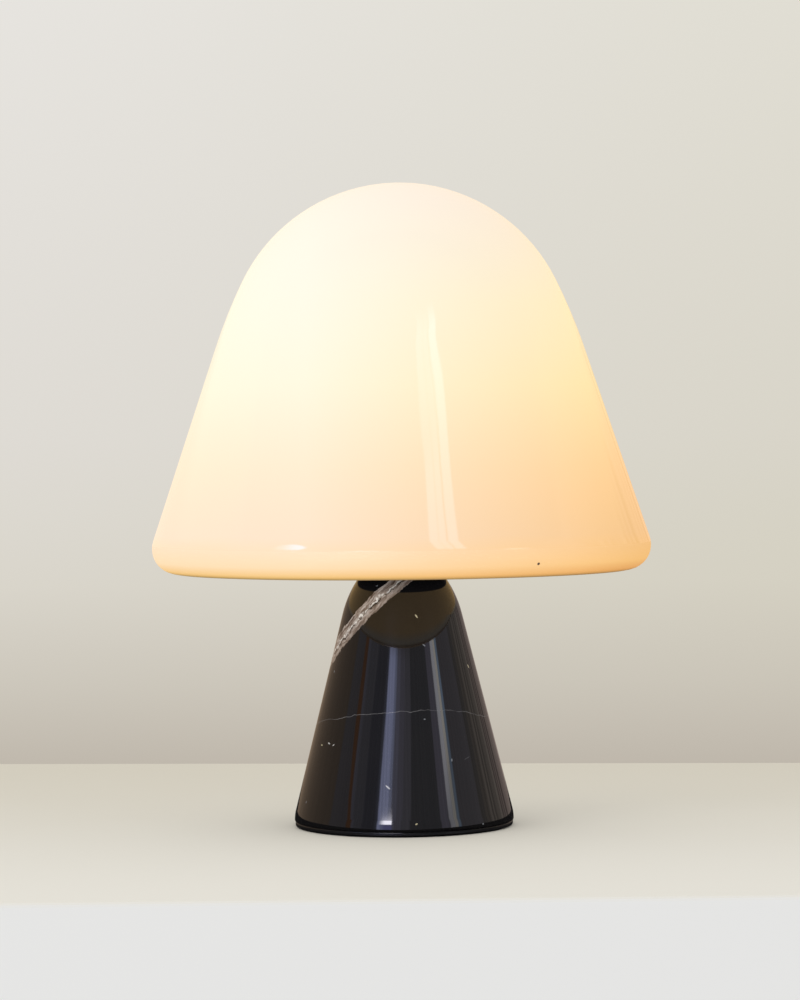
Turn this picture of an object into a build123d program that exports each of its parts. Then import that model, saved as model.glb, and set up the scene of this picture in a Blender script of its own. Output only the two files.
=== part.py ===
from build123d import *

import os
from math import cos, pi, radians, sin, sqrt, tan

# Mushroom table lamp. A turned cone of polished marble stands on a thin steel plate and carries a blown
# opal glass shade, which is closed underneath except for a round neck hole. The shade is dropped over the
# bulb and rests on a steel carrier at the top of the cone. With the shade lifted off, the bulb unscrews
# from an E27 lampholder. A threaded tube on the axis ties everything below the shade together.
# Millimetres. +Z is up, the origin is the middle of the underside, and the cord inlet faces +Y.

# ---- shade: tangent arcs and lines, all of one wall thickness ----
SHADE_RADIUS = 125.0
SHADE_TOP_Z = 322.3
SHADE_RIM_Z = 128.0
SHADE_CROWN_RADIUS = 87.5
SHADE_CROWN_END = radians(26.2)  # elevation of the surface's normal where the round crown ends
SHADE_FLANK_LEAN = radians(18.5)  # of the straight flank from the vertical
SHADE_RIM_RADIUS = 12.2  # bend between flank and underside
SHADE_DISH = radians(2.1)  # slope at which the underside rises towards the neck
SHADE_SEAT_RADIUS = 36.0  # inside this the underside is ground flat
GLASS = 3.0
NECK_HOLE_RADIUS = 28.5

# ---- pad, plate and their screws ----
PAD_RADIUS = 53.0
PAD_THICKNESS = 0.5
PLATE_RADIUS = 54.6
PLATE_THICKNESS = 2.2
PLATE_EDGE_RADIUS = 0.6
PLATE_SCREWS = 3
PLATE_SCREW_CIRCLE = 40.0  # radius
SCREW_RADIUS = 2.0
SCREW_HEAD_RADIUS = 3.3
SCREW_SOCKET_RADIUS = 1.2
SCREW_SOCKET_DEPTH = 0.8
SCREW_LENGTH = 9.0
ANCHOR_RADIUS = 3.2
ANCHOR_LENGTH = 9.0

# ---- marble cone ----
CONE_LEAN = radians(14.0)  # of the flank from the vertical
CONE_FOOT_RADIUS = 56.5  # that the flank would have at the table
CONE_SHOULDER_Z = 106.6  # where the flank starts to round over
MARBLE_TOP_Z = 126.0
MARBLE_TOP_RADIUS = 20.7
MARBLE_FOOT_CURVE = 20.0  # radius with which the flank turns upright near the plate
MARBLE_FOOT_EDGE = 0.8
MARBLE_BORE_RADIUS = 5.5
POCKET_RADIUS = 15.5  # of the wiring pocket under the cone
POCKET_DEPTH = 16.0

# ---- cord inlet ----
INLET_Z = 11.5
INLET_HOLE_RADIUS = 4.5
INLET_BORE_RADIUS = 3.2
INLET_FLANGE_RADIUS = 5.8
INLET_FLANGE_THICKNESS = 2.0
INLET_FLANGE_EDGE = 0.6
INLET_BARREL_LENGTH = 12.0
INLET_SEAT_Y = 49.6  # of the spot face that the flange sits on
INLET_SEAT_RADIUS = 6.0

# ---- threaded tube, nuts and washers, M10 x 1 ----
TUBE_RADIUS = 5.0
TUBE_BORE_RADIUS = 3.7
TUBE_LOW_Z = 9.0
TUBE_IN_HOLDER = 10.0
END_BUSH_BORE_RADIUS = 3.1
END_BUSH_FLANGE_RADIUS = 5.6
END_BUSH_FLANGE_THICKNESS = 1.2
END_BUSH_LENGTH = 6.0
NUT_FLATS = 14.0
NUT_THICKNESS = 4.0
NUT_CHAMFER = 0.6
WASHER_HOLE_RADIUS = 5.2
LOCK_WASHER_RADIUS = 8.0
LOCK_WASHER_THICKNESS = 0.8
LOCK_WASHER_NOTCHES = 8
LOCK_WASHER_NOTCH = 1.6
SPREAD_WASHER_RADIUS = 14.0
SPREAD_WASHER_THICKNESS = 2.0
FIBRE_WASHER_RADIUS = 18.5
FIBRE_WASHER_THICKNESS = 1.0

# ---- shade carrier ----
CARRIER_RADIUS = 33.0
CARRIER_SHEET = 1.2
CARRIER_EDGE = 0.3
RING_RADIUS = 27.6  # outside of the ring that centres the neck
RING_HEIGHT = 6.6
GASKET_INNER_RADIUS = 27.9
GASKET_RADIUS = 32.6

# ---- lampholder, E27 ----
HOLDER_RADIUS = 18.5
HOLDER_WALL = 2.0
HOLDER_HEIGHT = 49.0
HOLDER_CAP_HEIGHT = 21.0
HOLDER_NECK_RADIUS = 8.0
HOLDER_NECK_HEIGHT = 6.0
HOLDER_DOME_RADIUS = 9.0
HOLDER_EDGE = 1.0
CHAMBER_RADIUS = 14.2
CHAMBER_CORNER = 5.2
SPIGOT_RADIUS = 16.9  # of the skirt's spigot in the cap's counterbore
SPIGOT_BORE_RADIUS = 15.2
SPIGOT_DEPTH = 3.5
COUNTERBORE_DEPTH = 5.0
CLAMP_RIB_BORE_RADIUS = 14.6
CLAMP_RIB_HEIGHT = 1.2
MOUTH_RADIUS = 14.0  # of the lip that covers the shell's edge
MOUTH_LIP = 1.6
GRIP_RIBS = 24
GRIP_RIB_WIDTH = 1.4
GRIP_RIB_HEIGHT = 0.5
GRIP_RIB_LENGTH = 17.0
GRUB_RADIUS = 1.5
GRUB_LENGTH = 2.8
GRUB_SOCKET_RADIUS = 0.75
GRUB_SOCKET_DEPTH = 1.4
INSERT_RADIUS = 15.0
INSERT_HEIGHT = 8.0
INSERT_RECESS_RADIUS = 10.0
INSERT_RECESS_DEPTH = 3.0
SHELL_BORE_RADIUS = 13.7
SHELL_SHEET = 0.5
SHELL_HEIGHT = 21.0
CONTACT_SHEET = 0.5
CONTACT_WIDTH = 5.0
CONTACT_FOOT_X = -9.5
CONTACT_BEND_X = -5.0
CONTACT_FLAT = 3.0  # length of the leaf's flat under the bulb
CONTACT_TAIL = 2.0
TERMINAL_X = 10.2
TERMINAL_LENGTH = 5.0
TERMINAL_WIDTH = 6.0
TERMINAL_HEIGHT = 5.5
TERMINAL_HOLE_RADIUS = 1.3
TERMINAL_SCREW_RADIUS = 1.2
TERMINAL_SCREW_HEAD_RADIUS = 1.9
TERMINAL_SCREW_HEAD = 1.2
TERMINAL_SCREW_LENGTH = 2.0
SLOT_WIDTH = 0.6
SLOT_DEPTH = 0.6
RIVET_RADIUS = 1.0
RIVET_HEAD_RADIUS = 1.6
RIVET_HEAD = 0.8
CONTACT_RIVET_X = -8.0
SHELL_RIVET_X = 12.0

# ---- bulb, E27 with a 45 mm globe ----
BULB_LENGTH = 78.0
BULB_TIP_Z = 159.0
GLOBE_RADIUS = 22.5
GLOBE_WALL = 1.2
GLOBE_SEAM = 9.5  # depth of the joint with the housing below the globe's centre
BULB_CAP_RADIUS = 13.2
BULB_CAP_SHEET = 0.4
BULB_CAP_LOW = 5.0  # heights above the tip
BULB_CAP_FULL = 7.2
BULB_CAP_HIGH = 25.0
TIP_RADIUS = 4.6
TIP_FLAT_RADIUS = 3.2
TIP_BEVEL = 1.2
TIP_HEIGHT = 1.8
INSULATOR_RADIUS = 11.0
INSULATOR_HIGH = 7.0
HOUSING_WALL = 1.5
HOUSING_LOW = 9.0
HOUSING_STEP_RADIUS = 13.8
HOUSING_LEDGE_RADIUS = 16.5
LED_BOARD_RADIUS = 18.4
LED_BOARD_THICKNESS = 1.5
LED_BOARD_PLAY = 0.1
LED_CHIPS = 10
LED_CHIP_CIRCLE = 11.0  # radius
LED_CHIP_LENGTH = 3.5
LED_CHIP_WIDTH = 2.8
LED_CHIP_THICKNESS = 0.7

# ---- levels that follow from the above ----
PLATE_TOP_Z = PAD_THICKNESS + PLATE_THICKNESS
FOOT_Z = PLATE_TOP_Z + MARBLE_FOOT_EDGE  # where the stone is widest
FOOT_RADIUS = CONE_FOOT_RADIUS - FOOT_Z * tan(CONE_LEAN) - MARBLE_FOOT_CURVE * (1 / cos(CONE_LEAN) - 1)
POCKET_TOP_Z = PLATE_TOP_Z + POCKET_DEPTH
SPREAD_WASHER_Z = POCKET_TOP_Z - SPREAD_WASHER_THICKNESS
BOTTOM_LOCK_WASHER_Z = SPREAD_WASHER_Z - LOCK_WASHER_THICKNESS
BOTTOM_NUT_Z = BOTTOM_LOCK_WASHER_Z - NUT_THICKNESS
CARRIER_Z = MARBLE_TOP_Z + FIBRE_WASHER_THICKNESS
CARRIER_TOP_Z = CARRIER_Z + CARRIER_SHEET
CARRIER_NUT_Z = CARRIER_TOP_Z + LOCK_WASHER_THICKNESS
HOLDER_Z = CARRIER_NUT_Z + NUT_THICKNESS
TUBE_TOP_Z = HOLDER_Z + TUBE_IN_HOLDER
HOLDER_SPLIT_Z = HOLDER_Z + HOLDER_CAP_HEIGHT
HOLDER_TOP_Z = HOLDER_Z + HOLDER_HEIGHT
INSERT_Z = HOLDER_SPLIT_Z - COUNTERBORE_DEPTH
INSERT_TOP_Z = INSERT_Z + INSERT_HEIGHT
RECESS_Z = INSERT_TOP_Z - INSERT_RECESS_DEPTH
TERMINAL_Z = INSERT_Z - TERMINAL_HEIGHT
GLOBE_CENTRE_Z = BULB_TIP_Z + BULB_LENGTH - GLOBE_RADIUS
SEAM_Z = GLOBE_CENTRE_Z - GLOBE_SEAM
LED_BOARD_Z = SEAM_Z - LED_BOARD_THICKNESS

UP_FROM_BASE = (Align.CENTER, Align.CENTER, Align.MIN)


# ---- forms that several pieces share ----
def direction(angle):
    return Vector(cos(angle), sin(angle))


def turned(*edges):
    """Solid turned about the lamp's axis from a closed outline, drawn as (radius, height)."""
    return revolve(make_face(Plane.XZ * Curve(edges)), Axis.Z)


def turned_outline(*corners):
    """Solid turned from a closed outline of straight runs."""
    return turned(*Polyline(*corners, close=True).edges())


def disc(radius, low, high):
    return Pos(0, 0, low) * Cylinder(radius, high - low, align=UP_FROM_BASE)


def ring(bore, radius, low, high):
    return disc(radius, low, high) - disc(bore, low, high)


def around(count, radius, piece):
    """Copies of piece, evenly spaced on a circle about the lamp's axis."""
    return [Rot(0, 0, 360 / count * n) * Pos(radius, 0, 0) * piece for n in range(count)]


# ---- shade ----
def shade_side(inset):
    """The section's line from the crown to the neck, this far inside the outer face.

    Crown, shoulder, flank and rim bend run into each other without a corner. The shoulder's radius is the
    one that touches the crown's circle at the crown's end and the straight flank as well.
    """
    crown_centre = Vector(0, SHADE_TOP_Z - SHADE_CROWN_RADIUS)
    rim_centre = Vector(SHADE_RADIUS - SHADE_RIM_RADIUS, SHADE_RIM_Z + SHADE_RIM_RADIUS)
    crown_out = direction(SHADE_CROWN_END)
    flank_out = direction(SHADE_FLANK_LEAN)
    under_out = direction(-pi / 2 - SHADE_DISH)

    turn = cos(SHADE_CROWN_END - SHADE_FLANK_LEAN)
    flank_reach = (rim_centre - crown_centre).dot(flank_out) + SHADE_RIM_RADIUS
    shoulder_radius = (flank_reach - SHADE_CROWN_RADIUS * turn) / (1 - turn)
    shoulder_centre = crown_centre - crown_out * (shoulder_radius - SHADE_CROWN_RADIUS)

    apex = crown_centre + Vector(0, SHADE_CROWN_RADIUS - inset)
    crown_end = crown_centre + crown_out * (SHADE_CROWN_RADIUS - inset)
    flank_top = shoulder_centre + flank_out * (shoulder_radius - inset)
    flank_foot = rim_centre + flank_out * (SHADE_RIM_RADIUS - inset)
    bend_end = rim_centre + under_out * (SHADE_RIM_RADIUS - inset)
    seat_start = Vector(SHADE_SEAT_RADIUS + inset * tan(SHADE_DISH / 2), shade_seat_z() + inset)
    seat_end = Vector(NECK_HOLE_RADIUS + GLASS / 2, shade_seat_z() + inset)
    return [
        TangentArc(apex, crown_end, tangent=(1, 0)),
        TangentArc(crown_end, flank_top, tangent=(crown_out.Y, -crown_out.X)),
        Line(flank_top, flank_foot),
        TangentArc(flank_foot, bend_end, tangent=(flank_out.Y, -flank_out.X)),
        Line(bend_end, seat_start),
        Line(seat_start, seat_end),
    ]


def shade_seat_z():
    """Height of the ground seat: the dished underside's where the seat begins."""
    rim_centre_z = SHADE_RIM_Z + SHADE_RIM_RADIUS
    run = SHADE_RADIUS - SHADE_RIM_RADIUS - SHADE_SEAT_RADIUS
    return rim_centre_z - SHADE_RIM_RADIUS / cos(SHADE_DISH) + run * tan(SHADE_DISH)


def opal_shade():
    outer = shade_side(0)
    inner = shade_side(GLASS)
    rounded_neck_edge = TangentArc(outer[-1] @ 1, inner[-1] @ 1, tangent=(-1, 0))
    crown_line = Line(inner[0] @ 0, outer[0] @ 0)
    return turned(*outer, rounded_neck_edge, *inner, crown_line)


# ---- pad, plate and their screws ----
def foot_pad():
    return disc(PAD_RADIUS, 0, PAD_THICKNESS)


def bottom_plate():
    plate = disc(PLATE_RADIUS, PAD_THICKNESS, PLATE_TOP_Z)
    plate = fillet(plate.edges().filter_by(GeomType.CIRCLE), PLATE_EDGE_RADIUS)
    countersink = turned_outline(*screw_side(PLATE_TOP_Z))
    return plate - around(PLATE_SCREWS, PLATE_SCREW_CIRCLE, countersink)


def screw_side(end_z):
    """Outline of a countersunk screw that is flush with the plate's underside."""
    neck_z = PAD_THICKNESS + SCREW_HEAD_RADIUS - SCREW_RADIUS
    return [
        (0, PAD_THICKNESS),
        (SCREW_HEAD_RADIUS, PAD_THICKNESS),
        (SCREW_RADIUS, neck_z),
        (SCREW_RADIUS, end_z),
        (0, end_z),
    ]


def plate_screws():
    screw = turned_outline(*screw_side(PAD_THICKNESS + SCREW_LENGTH))
    screw -= disc(SCREW_SOCKET_RADIUS, PAD_THICKNESS, PAD_THICKNESS + SCREW_SOCKET_DEPTH)
    return around(PLATE_SCREWS, PLATE_SCREW_CIRCLE, screw)


def plate_anchors():
    """Inserts in the stone that the plate's screws run into."""
    anchor = ring(SCREW_RADIUS, ANCHOR_RADIUS, PLATE_TOP_Z, PLATE_TOP_Z + ANCHOR_LENGTH)
    return around(PLATE_SCREWS, PLATE_SCREW_CIRCLE, anchor)


# ---- marble cone and cord inlet ----
def cone_radius(z):
    return CONE_FOOT_RADIUS - z * tan(CONE_LEAN)


def marble_base():
    foot_centre = Vector(FOOT_RADIUS - MARBLE_FOOT_CURVE, FOOT_Z)
    foot = foot_centre + Vector(MARBLE_FOOT_CURVE, 0)
    flank_start = foot_centre + direction(CONE_LEAN) * MARBLE_FOOT_CURVE
    edge = (FOOT_RADIUS - MARBLE_FOOT_EDGE, PLATE_TOP_Z)
    shoulder = (cone_radius(CONE_SHOULDER_Z), CONE_SHOULDER_Z)
    top = (MARBLE_TOP_RADIUS, MARBLE_TOP_Z)
    up_the_flank = direction(CONE_LEAN + pi / 2)
    stone = turned(
        Line((0, PLATE_TOP_Z), edge),
        TangentArc(edge, foot, tangent=(1, 0)),
        TangentArc(foot, flank_start, tangent=(0, 1)),
        Line(flank_start, shoulder),
        TangentArc(shoulder, top, tangent=up_the_flank),
        Line(top, (0, MARBLE_TOP_Z)),
        Line((0, MARBLE_TOP_Z), (0, PLATE_TOP_Z)),
    )
    stone -= disc(MARBLE_BORE_RADIUS, PLATE_TOP_Z, MARBLE_TOP_Z)
    stone -= disc(POCKET_RADIUS, PLATE_TOP_Z, POCKET_TOP_Z)
    stone -= inlet_cylinder(INLET_HOLE_RADIUS, 0, CONE_FOOT_RADIUS)
    stone -= inlet_cylinder(INLET_SEAT_RADIUS, INLET_SEAT_Y, CONE_FOOT_RADIUS)
    anchor_hole = disc(ANCHOR_RADIUS, PLATE_TOP_Z, PLATE_TOP_Z + ANCHOR_LENGTH)
    return stone - around(PLATE_SCREWS, PLATE_SCREW_CIRCLE, anchor_hole)


def inlet_cylinder(radius, near_y, far_y):
    """Cylinder on the cord inlet's axis, between two distances behind the lamp's axis."""
    along_y = Rot(-90, 0, 0) * Cylinder(radius, far_y - near_y, align=UP_FROM_BASE)
    return Pos(0, near_y, INLET_Z) * along_y


def cord_inlet_bush():
    inner_y = INLET_SEAT_Y - INLET_BARREL_LENGTH
    outer_y = INLET_SEAT_Y + INLET_FLANGE_THICKNESS
    flange = inlet_cylinder(INLET_FLANGE_RADIUS, INLET_SEAT_Y, outer_y)
    flange = fillet(flange.edges().sort_by(Axis.Y)[-1], INLET_FLANGE_EDGE)
    bush = flange + inlet_cylinder(INLET_HOLE_RADIUS, inner_y, INLET_SEAT_Y)
    return bush - inlet_cylinder(INLET_BORE_RADIUS, inner_y, outer_y)


# ---- threaded tube, nuts and washers ----
def threaded_tube():
    return ring(TUBE_BORE_RADIUS, TUBE_RADIUS, TUBE_LOW_Z, TUBE_TOP_Z)


def tube_end_bush():
    """Plastic bush that keeps the tube's lower edge off the wires."""
    flange = disc(END_BUSH_FLANGE_RADIUS, TUBE_LOW_Z - END_BUSH_FLANGE_THICKNESS, TUBE_LOW_Z)
    bush = flange + disc(TUBE_BORE_RADIUS, TUBE_LOW_Z, TUBE_LOW_Z + END_BUSH_LENGTH)
    return bush - disc(END_BUSH_BORE_RADIUS, 0, TUBE_LOW_Z + END_BUSH_LENGTH)


def hex_nut(low):
    """Hexagon nut whose corners are turned off at both ends."""
    high = low + NUT_THICKNESS
    corner = NUT_FLATS / 2 + NUT_CHAMFER / tan(radians(30))
    hexagon = RegularPolygon(NUT_FLATS / 2, 6, major_radius=False)
    blank = Pos(0, 0, low) * extrude(hexagon, NUT_THICKNESS)
    envelope = turned_outline(
        (0, low),
        (NUT_FLATS / 2, low),
        (corner, low + NUT_CHAMFER),
        (corner, high - NUT_CHAMFER),
        (NUT_FLATS / 2, high),
        (0, high),
    )
    return (blank & envelope) - disc(TUBE_RADIUS, low, high)


def tooth_washer(low):
    """External-tooth lock washer."""
    washer = ring(WASHER_HOLE_RADIUS, LOCK_WASHER_RADIUS, low, low + LOCK_WASHER_THICKNESS)
    notch = Pos(0, 0, low) * Box(
        2 * LOCK_WASHER_NOTCH, LOCK_WASHER_NOTCH, LOCK_WASHER_THICKNESS, align=UP_FROM_BASE
    )
    return washer - around(LOCK_WASHER_NOTCHES, LOCK_WASHER_RADIUS, notch)


def bottom_nut():
    return hex_nut(BOTTOM_NUT_Z)


def bottom_lock_washer():
    return tooth_washer(BOTTOM_LOCK_WASHER_Z)


def spread_washer():
    return ring(WASHER_HOLE_RADIUS, SPREAD_WASHER_RADIUS, SPREAD_WASHER_Z, POCKET_TOP_Z)


def fibre_washer():
    return ring(WASHER_HOLE_RADIUS, FIBRE_WASHER_RADIUS, MARBLE_TOP_Z, CARRIER_Z)


# ---- shade carrier ----
def shade_carrier():
    plate = disc(CARRIER_RADIUS, CARRIER_Z, CARRIER_TOP_Z)
    plate = fillet(plate.edges().filter_by(GeomType.CIRCLE), CARRIER_EDGE)
    return plate - disc(WASHER_HOLE_RADIUS, CARRIER_Z, CARRIER_TOP_Z)


def centring_ring():
    """Rolled ring, welded on the carrier, that the shade's neck drops over."""
    wall = ring(RING_RADIUS - CARRIER_SHEET, RING_RADIUS, CARRIER_TOP_Z, CARRIER_TOP_Z + RING_HEIGHT)
    top_edges = wall.edges().filter_by(GeomType.CIRCLE).group_by(Axis.Z)[-1]
    return fillet(top_edges, CARRIER_EDGE)


def shade_gasket():
    return ring(GASKET_INNER_RADIUS, GASKET_RADIUS, CARRIER_TOP_Z, shade_seat_z())


def carrier_lock_washer():
    return tooth_washer(CARRIER_TOP_Z)


def carrier_nut():
    return hex_nut(CARRIER_NUT_Z)


# ---- lampholder ----
def holder_cap():
    """Lower half: a threaded neck that opens into a domed chamber for the terminals."""
    neck_top = HOLDER_Z + HOLDER_NECK_HEIGHT
    dome_start = HOLDER_RADIUS - HOLDER_DOME_RADIUS
    dome_end = neck_top + HOLDER_DOME_RADIUS
    floor = neck_top + HOLDER_WALL
    cap = turned(
        Line((TUBE_RADIUS, HOLDER_Z), (HOLDER_NECK_RADIUS, HOLDER_Z)),
        Line((HOLDER_NECK_RADIUS, HOLDER_Z), (HOLDER_NECK_RADIUS, neck_top)),
        Line((HOLDER_NECK_RADIUS, neck_top), (dome_start, neck_top)),
        TangentArc((dome_start, neck_top), (HOLDER_RADIUS, dome_end), tangent=(1, 0)),
        Line((HOLDER_RADIUS, dome_end), (HOLDER_RADIUS, HOLDER_SPLIT_Z)),
        Line((HOLDER_RADIUS, HOLDER_SPLIT_Z), (SPIGOT_RADIUS, HOLDER_SPLIT_Z)),
        Line((SPIGOT_RADIUS, HOLDER_SPLIT_Z), (SPIGOT_RADIUS, INSERT_Z)),
        Line((SPIGOT_RADIUS, INSERT_Z), (CHAMBER_RADIUS, INSERT_Z)),
        Line((CHAMBER_RADIUS, INSERT_Z), (CHAMBER_RADIUS, floor + CHAMBER_CORNER)),
        TangentArc(
            (CHAMBER_RADIUS, floor + CHAMBER_CORNER),
            (CHAMBER_RADIUS - CHAMBER_CORNER, floor),
            tangent=(0, -1),
        ),
        Line((CHAMBER_RADIUS - CHAMBER_CORNER, floor), (TUBE_RADIUS, floor)),
        Line((TUBE_RADIUS, floor), (TUBE_RADIUS, HOLDER_Z)),
    )
    return cap - grub_cylinder(GRUB_RADIUS, 0, HOLDER_NECK_RADIUS)


def grub_cylinder(radius, near_x, far_x):
    """Cylinder across the holder's neck, along +X."""
    along_x = Rot(0, 90, 0) * Cylinder(radius, far_x - near_x, align=UP_FROM_BASE)
    return Pos(near_x, 0, HOLDER_Z + HOLDER_NECK_HEIGHT / 2) * along_x


def holder_grub_screw():
    end_x = TUBE_RADIUS + GRUB_LENGTH
    screw = grub_cylinder(GRUB_RADIUS, TUBE_RADIUS, end_x)
    return screw - grub_cylinder(GRUB_SOCKET_RADIUS, end_x - GRUB_SOCKET_DEPTH, end_x)


def holder_skirt():
    """Upper half: its spigot fits the cap, a rib inside clamps the insert, and a lip guards the mouth."""
    bore = HOLDER_RADIUS - HOLDER_WALL
    rib_top = INSERT_TOP_Z + CLAMP_RIB_HEIGHT
    section = make_face(
        Polyline(
            (SPIGOT_BORE_RADIUS, HOLDER_SPLIT_Z - SPIGOT_DEPTH),
            (SPIGOT_RADIUS, HOLDER_SPLIT_Z - SPIGOT_DEPTH),
            (SPIGOT_RADIUS, HOLDER_SPLIT_Z),
            (HOLDER_RADIUS, HOLDER_SPLIT_Z),
            (HOLDER_RADIUS, HOLDER_TOP_Z),
            (MOUTH_RADIUS, HOLDER_TOP_Z),
            (MOUTH_RADIUS, HOLDER_TOP_Z - MOUTH_LIP),
            (bore, HOLDER_TOP_Z - MOUTH_LIP),
            (bore, rib_top),
            (CLAMP_RIB_BORE_RADIUS, rib_top),
            (CLAMP_RIB_BORE_RADIUS, INSERT_TOP_Z),
            (SPIGOT_BORE_RADIUS, INSERT_TOP_Z),
            close=True,
        )
    )
    outer_top = section.vertices().sort_by_distance((HOLDER_RADIUS, HOLDER_TOP_Z))[0]
    skirt = revolve(Plane.XZ * fillet(outer_top, HOLDER_EDGE), Axis.Z)
    rib_low = (HOLDER_SPLIT_Z + HOLDER_TOP_Z - GRIP_RIB_LENGTH) / 2
    grip = Box(2 * GRIP_RIB_HEIGHT, GRIP_RIB_WIDTH, GRIP_RIB_LENGTH, align=UP_FROM_BASE)
    return skirt + around(GRIP_RIBS, HOLDER_RADIUS, Pos(0, 0, rib_low) * grip)


def holder_insert():
    """Ceramic disc between cap and skirt, with a recess for the centre contact and holes for its rivets."""
    body = disc(INSERT_RADIUS, INSERT_Z, INSERT_TOP_Z)
    body -= disc(INSERT_RECESS_RADIUS, RECESS_Z, INSERT_TOP_Z)
    rivet_hole = disc(RIVET_RADIUS, INSERT_Z, INSERT_TOP_Z)
    return body - [Pos(x, 0, 0) * rivet_hole for x in (CONTACT_RIVET_X, SHELL_RIVET_X)]


def holder_screw_shell():
    """E27 shell with a foot that is riveted on the insert's rim."""
    outer = SHELL_BORE_RADIUS + SHELL_SHEET
    wall = ring(SHELL_BORE_RADIUS, outer, INSERT_TOP_Z, INSERT_TOP_Z + SHELL_HEIGHT)
    foot = ring(INSERT_RECESS_RADIUS, outer, INSERT_TOP_Z, INSERT_TOP_Z + SHELL_SHEET)
    rivet_hole = Pos(SHELL_RIVET_X, 0, 0) * disc(RIVET_RADIUS, INSERT_Z, INSERT_TOP_Z + SHELL_SHEET)
    return wall + foot - rivet_hole


def holder_centre_contact():
    """Bent spring leaf, riveted in the recess, whose flat meets the bulb's tip."""
    foot_z = RECESS_Z + CONTACT_SHEET / 2
    tip_z = BULB_TIP_Z - CONTACT_SHEET / 2
    centre_line = Polyline(
        (CONTACT_FOOT_X, foot_z),
        (CONTACT_BEND_X, foot_z),
        (-CONTACT_FLAT / 2, tip_z),
        (CONTACT_FLAT / 2, tip_z),
        (CONTACT_FLAT / 2 + CONTACT_TAIL, tip_z - CONTACT_TAIL / 2),
    )
    strip = Plane.XZ * trace(centre_line, CONTACT_SHEET)
    leaf = extrude(strip, CONTACT_WIDTH / 2, both=True)
    rivet_hole = Pos(CONTACT_RIVET_X, 0, 0) * disc(RIVET_RADIUS, RECESS_Z, RECESS_Z + CONTACT_SHEET)
    return leaf - rivet_hole


def rivet(x, seat_z):
    """Rivet from the insert's underside up to a sheet's face at seat_z."""
    shank = disc(RIVET_RADIUS, INSERT_Z, seat_z)
    head = disc(RIVET_HEAD_RADIUS, seat_z, seat_z + RIVET_HEAD)
    head = fillet(head.edges().sort_by(Axis.Z)[-1], RIVET_HEAD / 2)
    return Pos(x, 0, 0) * (shank + head)


def holder_rivets():
    contact_rivet = rivet(CONTACT_RIVET_X, RECESS_Z + CONTACT_SHEET)
    shell_rivet = rivet(SHELL_RIVET_X, INSERT_TOP_Z + SHELL_SHEET)
    return [contact_rivet, shell_rivet]


def holder_terminals():
    """Brass blocks under the insert, each with a cross hole for the wire and one for its screw."""
    block = Box(TERMINAL_LENGTH, TERMINAL_WIDTH, TERMINAL_HEIGHT, align=UP_FROM_BASE)
    wire_hole = Rot(90, 0, 0) * Cylinder(TERMINAL_HOLE_RADIUS, TERMINAL_WIDTH)
    block -= Pos(0, 0, TERMINAL_HEIGHT / 2) * wire_hole
    block -= disc(TERMINAL_SCREW_RADIUS, 0, TERMINAL_HEIGHT / 2)
    return [Pos(x, 0, TERMINAL_Z) * block for x in (-TERMINAL_X, TERMINAL_X)]


def terminal_screws():
    low = -TERMINAL_SCREW_HEAD
    screw = disc(TERMINAL_SCREW_HEAD_RADIUS, low, 0) + disc(TERMINAL_SCREW_RADIUS, 0, TERMINAL_SCREW_LENGTH)
    slot = Box(2 * TERMINAL_SCREW_HEAD_RADIUS, SLOT_WIDTH, SLOT_DEPTH, align=UP_FROM_BASE)
    screw -= Pos(0, 0, low) * slot
    return [Pos(x, 0, TERMINAL_Z) * screw for x in (-TERMINAL_X, TERMINAL_X)]


# ---- bulb ----
def seam_radius(sphere_radius):
    """Radius of a sphere about the globe's centre at the level of the seam."""
    return sqrt(sphere_radius**2 - GLOBE_SEAM**2)


def bulb_globe():
    top = GLOBE_CENTRE_Z + GLOBE_RADIUS
    outer_foot = (seam_radius(GLOBE_RADIUS), SEAM_Z)
    inner_foot = (seam_radius(GLOBE_RADIUS - GLOBE_WALL), SEAM_Z)
    return turned(
        TangentArc((0, top), outer_foot, tangent=(1, 0)),
        Line(outer_foot, inner_foot),
        TangentArc((0, top - GLOBE_WALL), inner_foot, tangent=(1, 0)),
        Line((0, top - GLOBE_WALL), (0, top)),
    )


def bulb_housing():
    """Moulded cone with a sleeve in the screw cap and a ledge for the light board."""
    low = BULB_TIP_Z + HOUSING_LOW
    step = BULB_TIP_Z + BULB_CAP_HIGH
    sleeve = BULB_CAP_RADIUS - BULB_CAP_SHEET
    bore = sleeve - HOUSING_WALL
    recess = LED_BOARD_RADIUS + LED_BOARD_PLAY
    step_corner = (HOUSING_STEP_RADIUS, step)
    rim = (seam_radius(GLOBE_RADIUS), SEAM_Z)
    return turned(
        Line((bore, low), (sleeve, low)),
        Line((sleeve, low), (sleeve, step)),
        Line((sleeve, step), step_corner),
        TangentArc(step_corner, rim, tangent=(0, 1)),
        Line(rim, (recess, SEAM_Z)),
        Line((recess, SEAM_Z), (recess, LED_BOARD_Z)),
        Line((recess, LED_BOARD_Z), (HOUSING_LEDGE_RADIUS, LED_BOARD_Z)),
        Line((HOUSING_LEDGE_RADIUS, LED_BOARD_Z), (bore, step)),
        Line((bore, step), (bore, low)),
    )


def bulb_cap():
    """Thin metal screw cap, drawn in at its lower edge round the insulator."""
    low = BULB_TIP_Z + BULB_CAP_LOW
    full = BULB_TIP_Z + BULB_CAP_FULL
    high = BULB_TIP_Z + BULB_CAP_HIGH
    bore = BULB_CAP_RADIUS - BULB_CAP_SHEET
    return turned_outline(
        (INSULATOR_RADIUS, low),
        (INSULATOR_RADIUS + BULB_CAP_SHEET, low),
        (BULB_CAP_RADIUS, full),
        (BULB_CAP_RADIUS, high),
        (bore, high),
        (bore, full),
        (INSULATOR_RADIUS, full - BULB_CAP_SHEET),
    )


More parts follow.
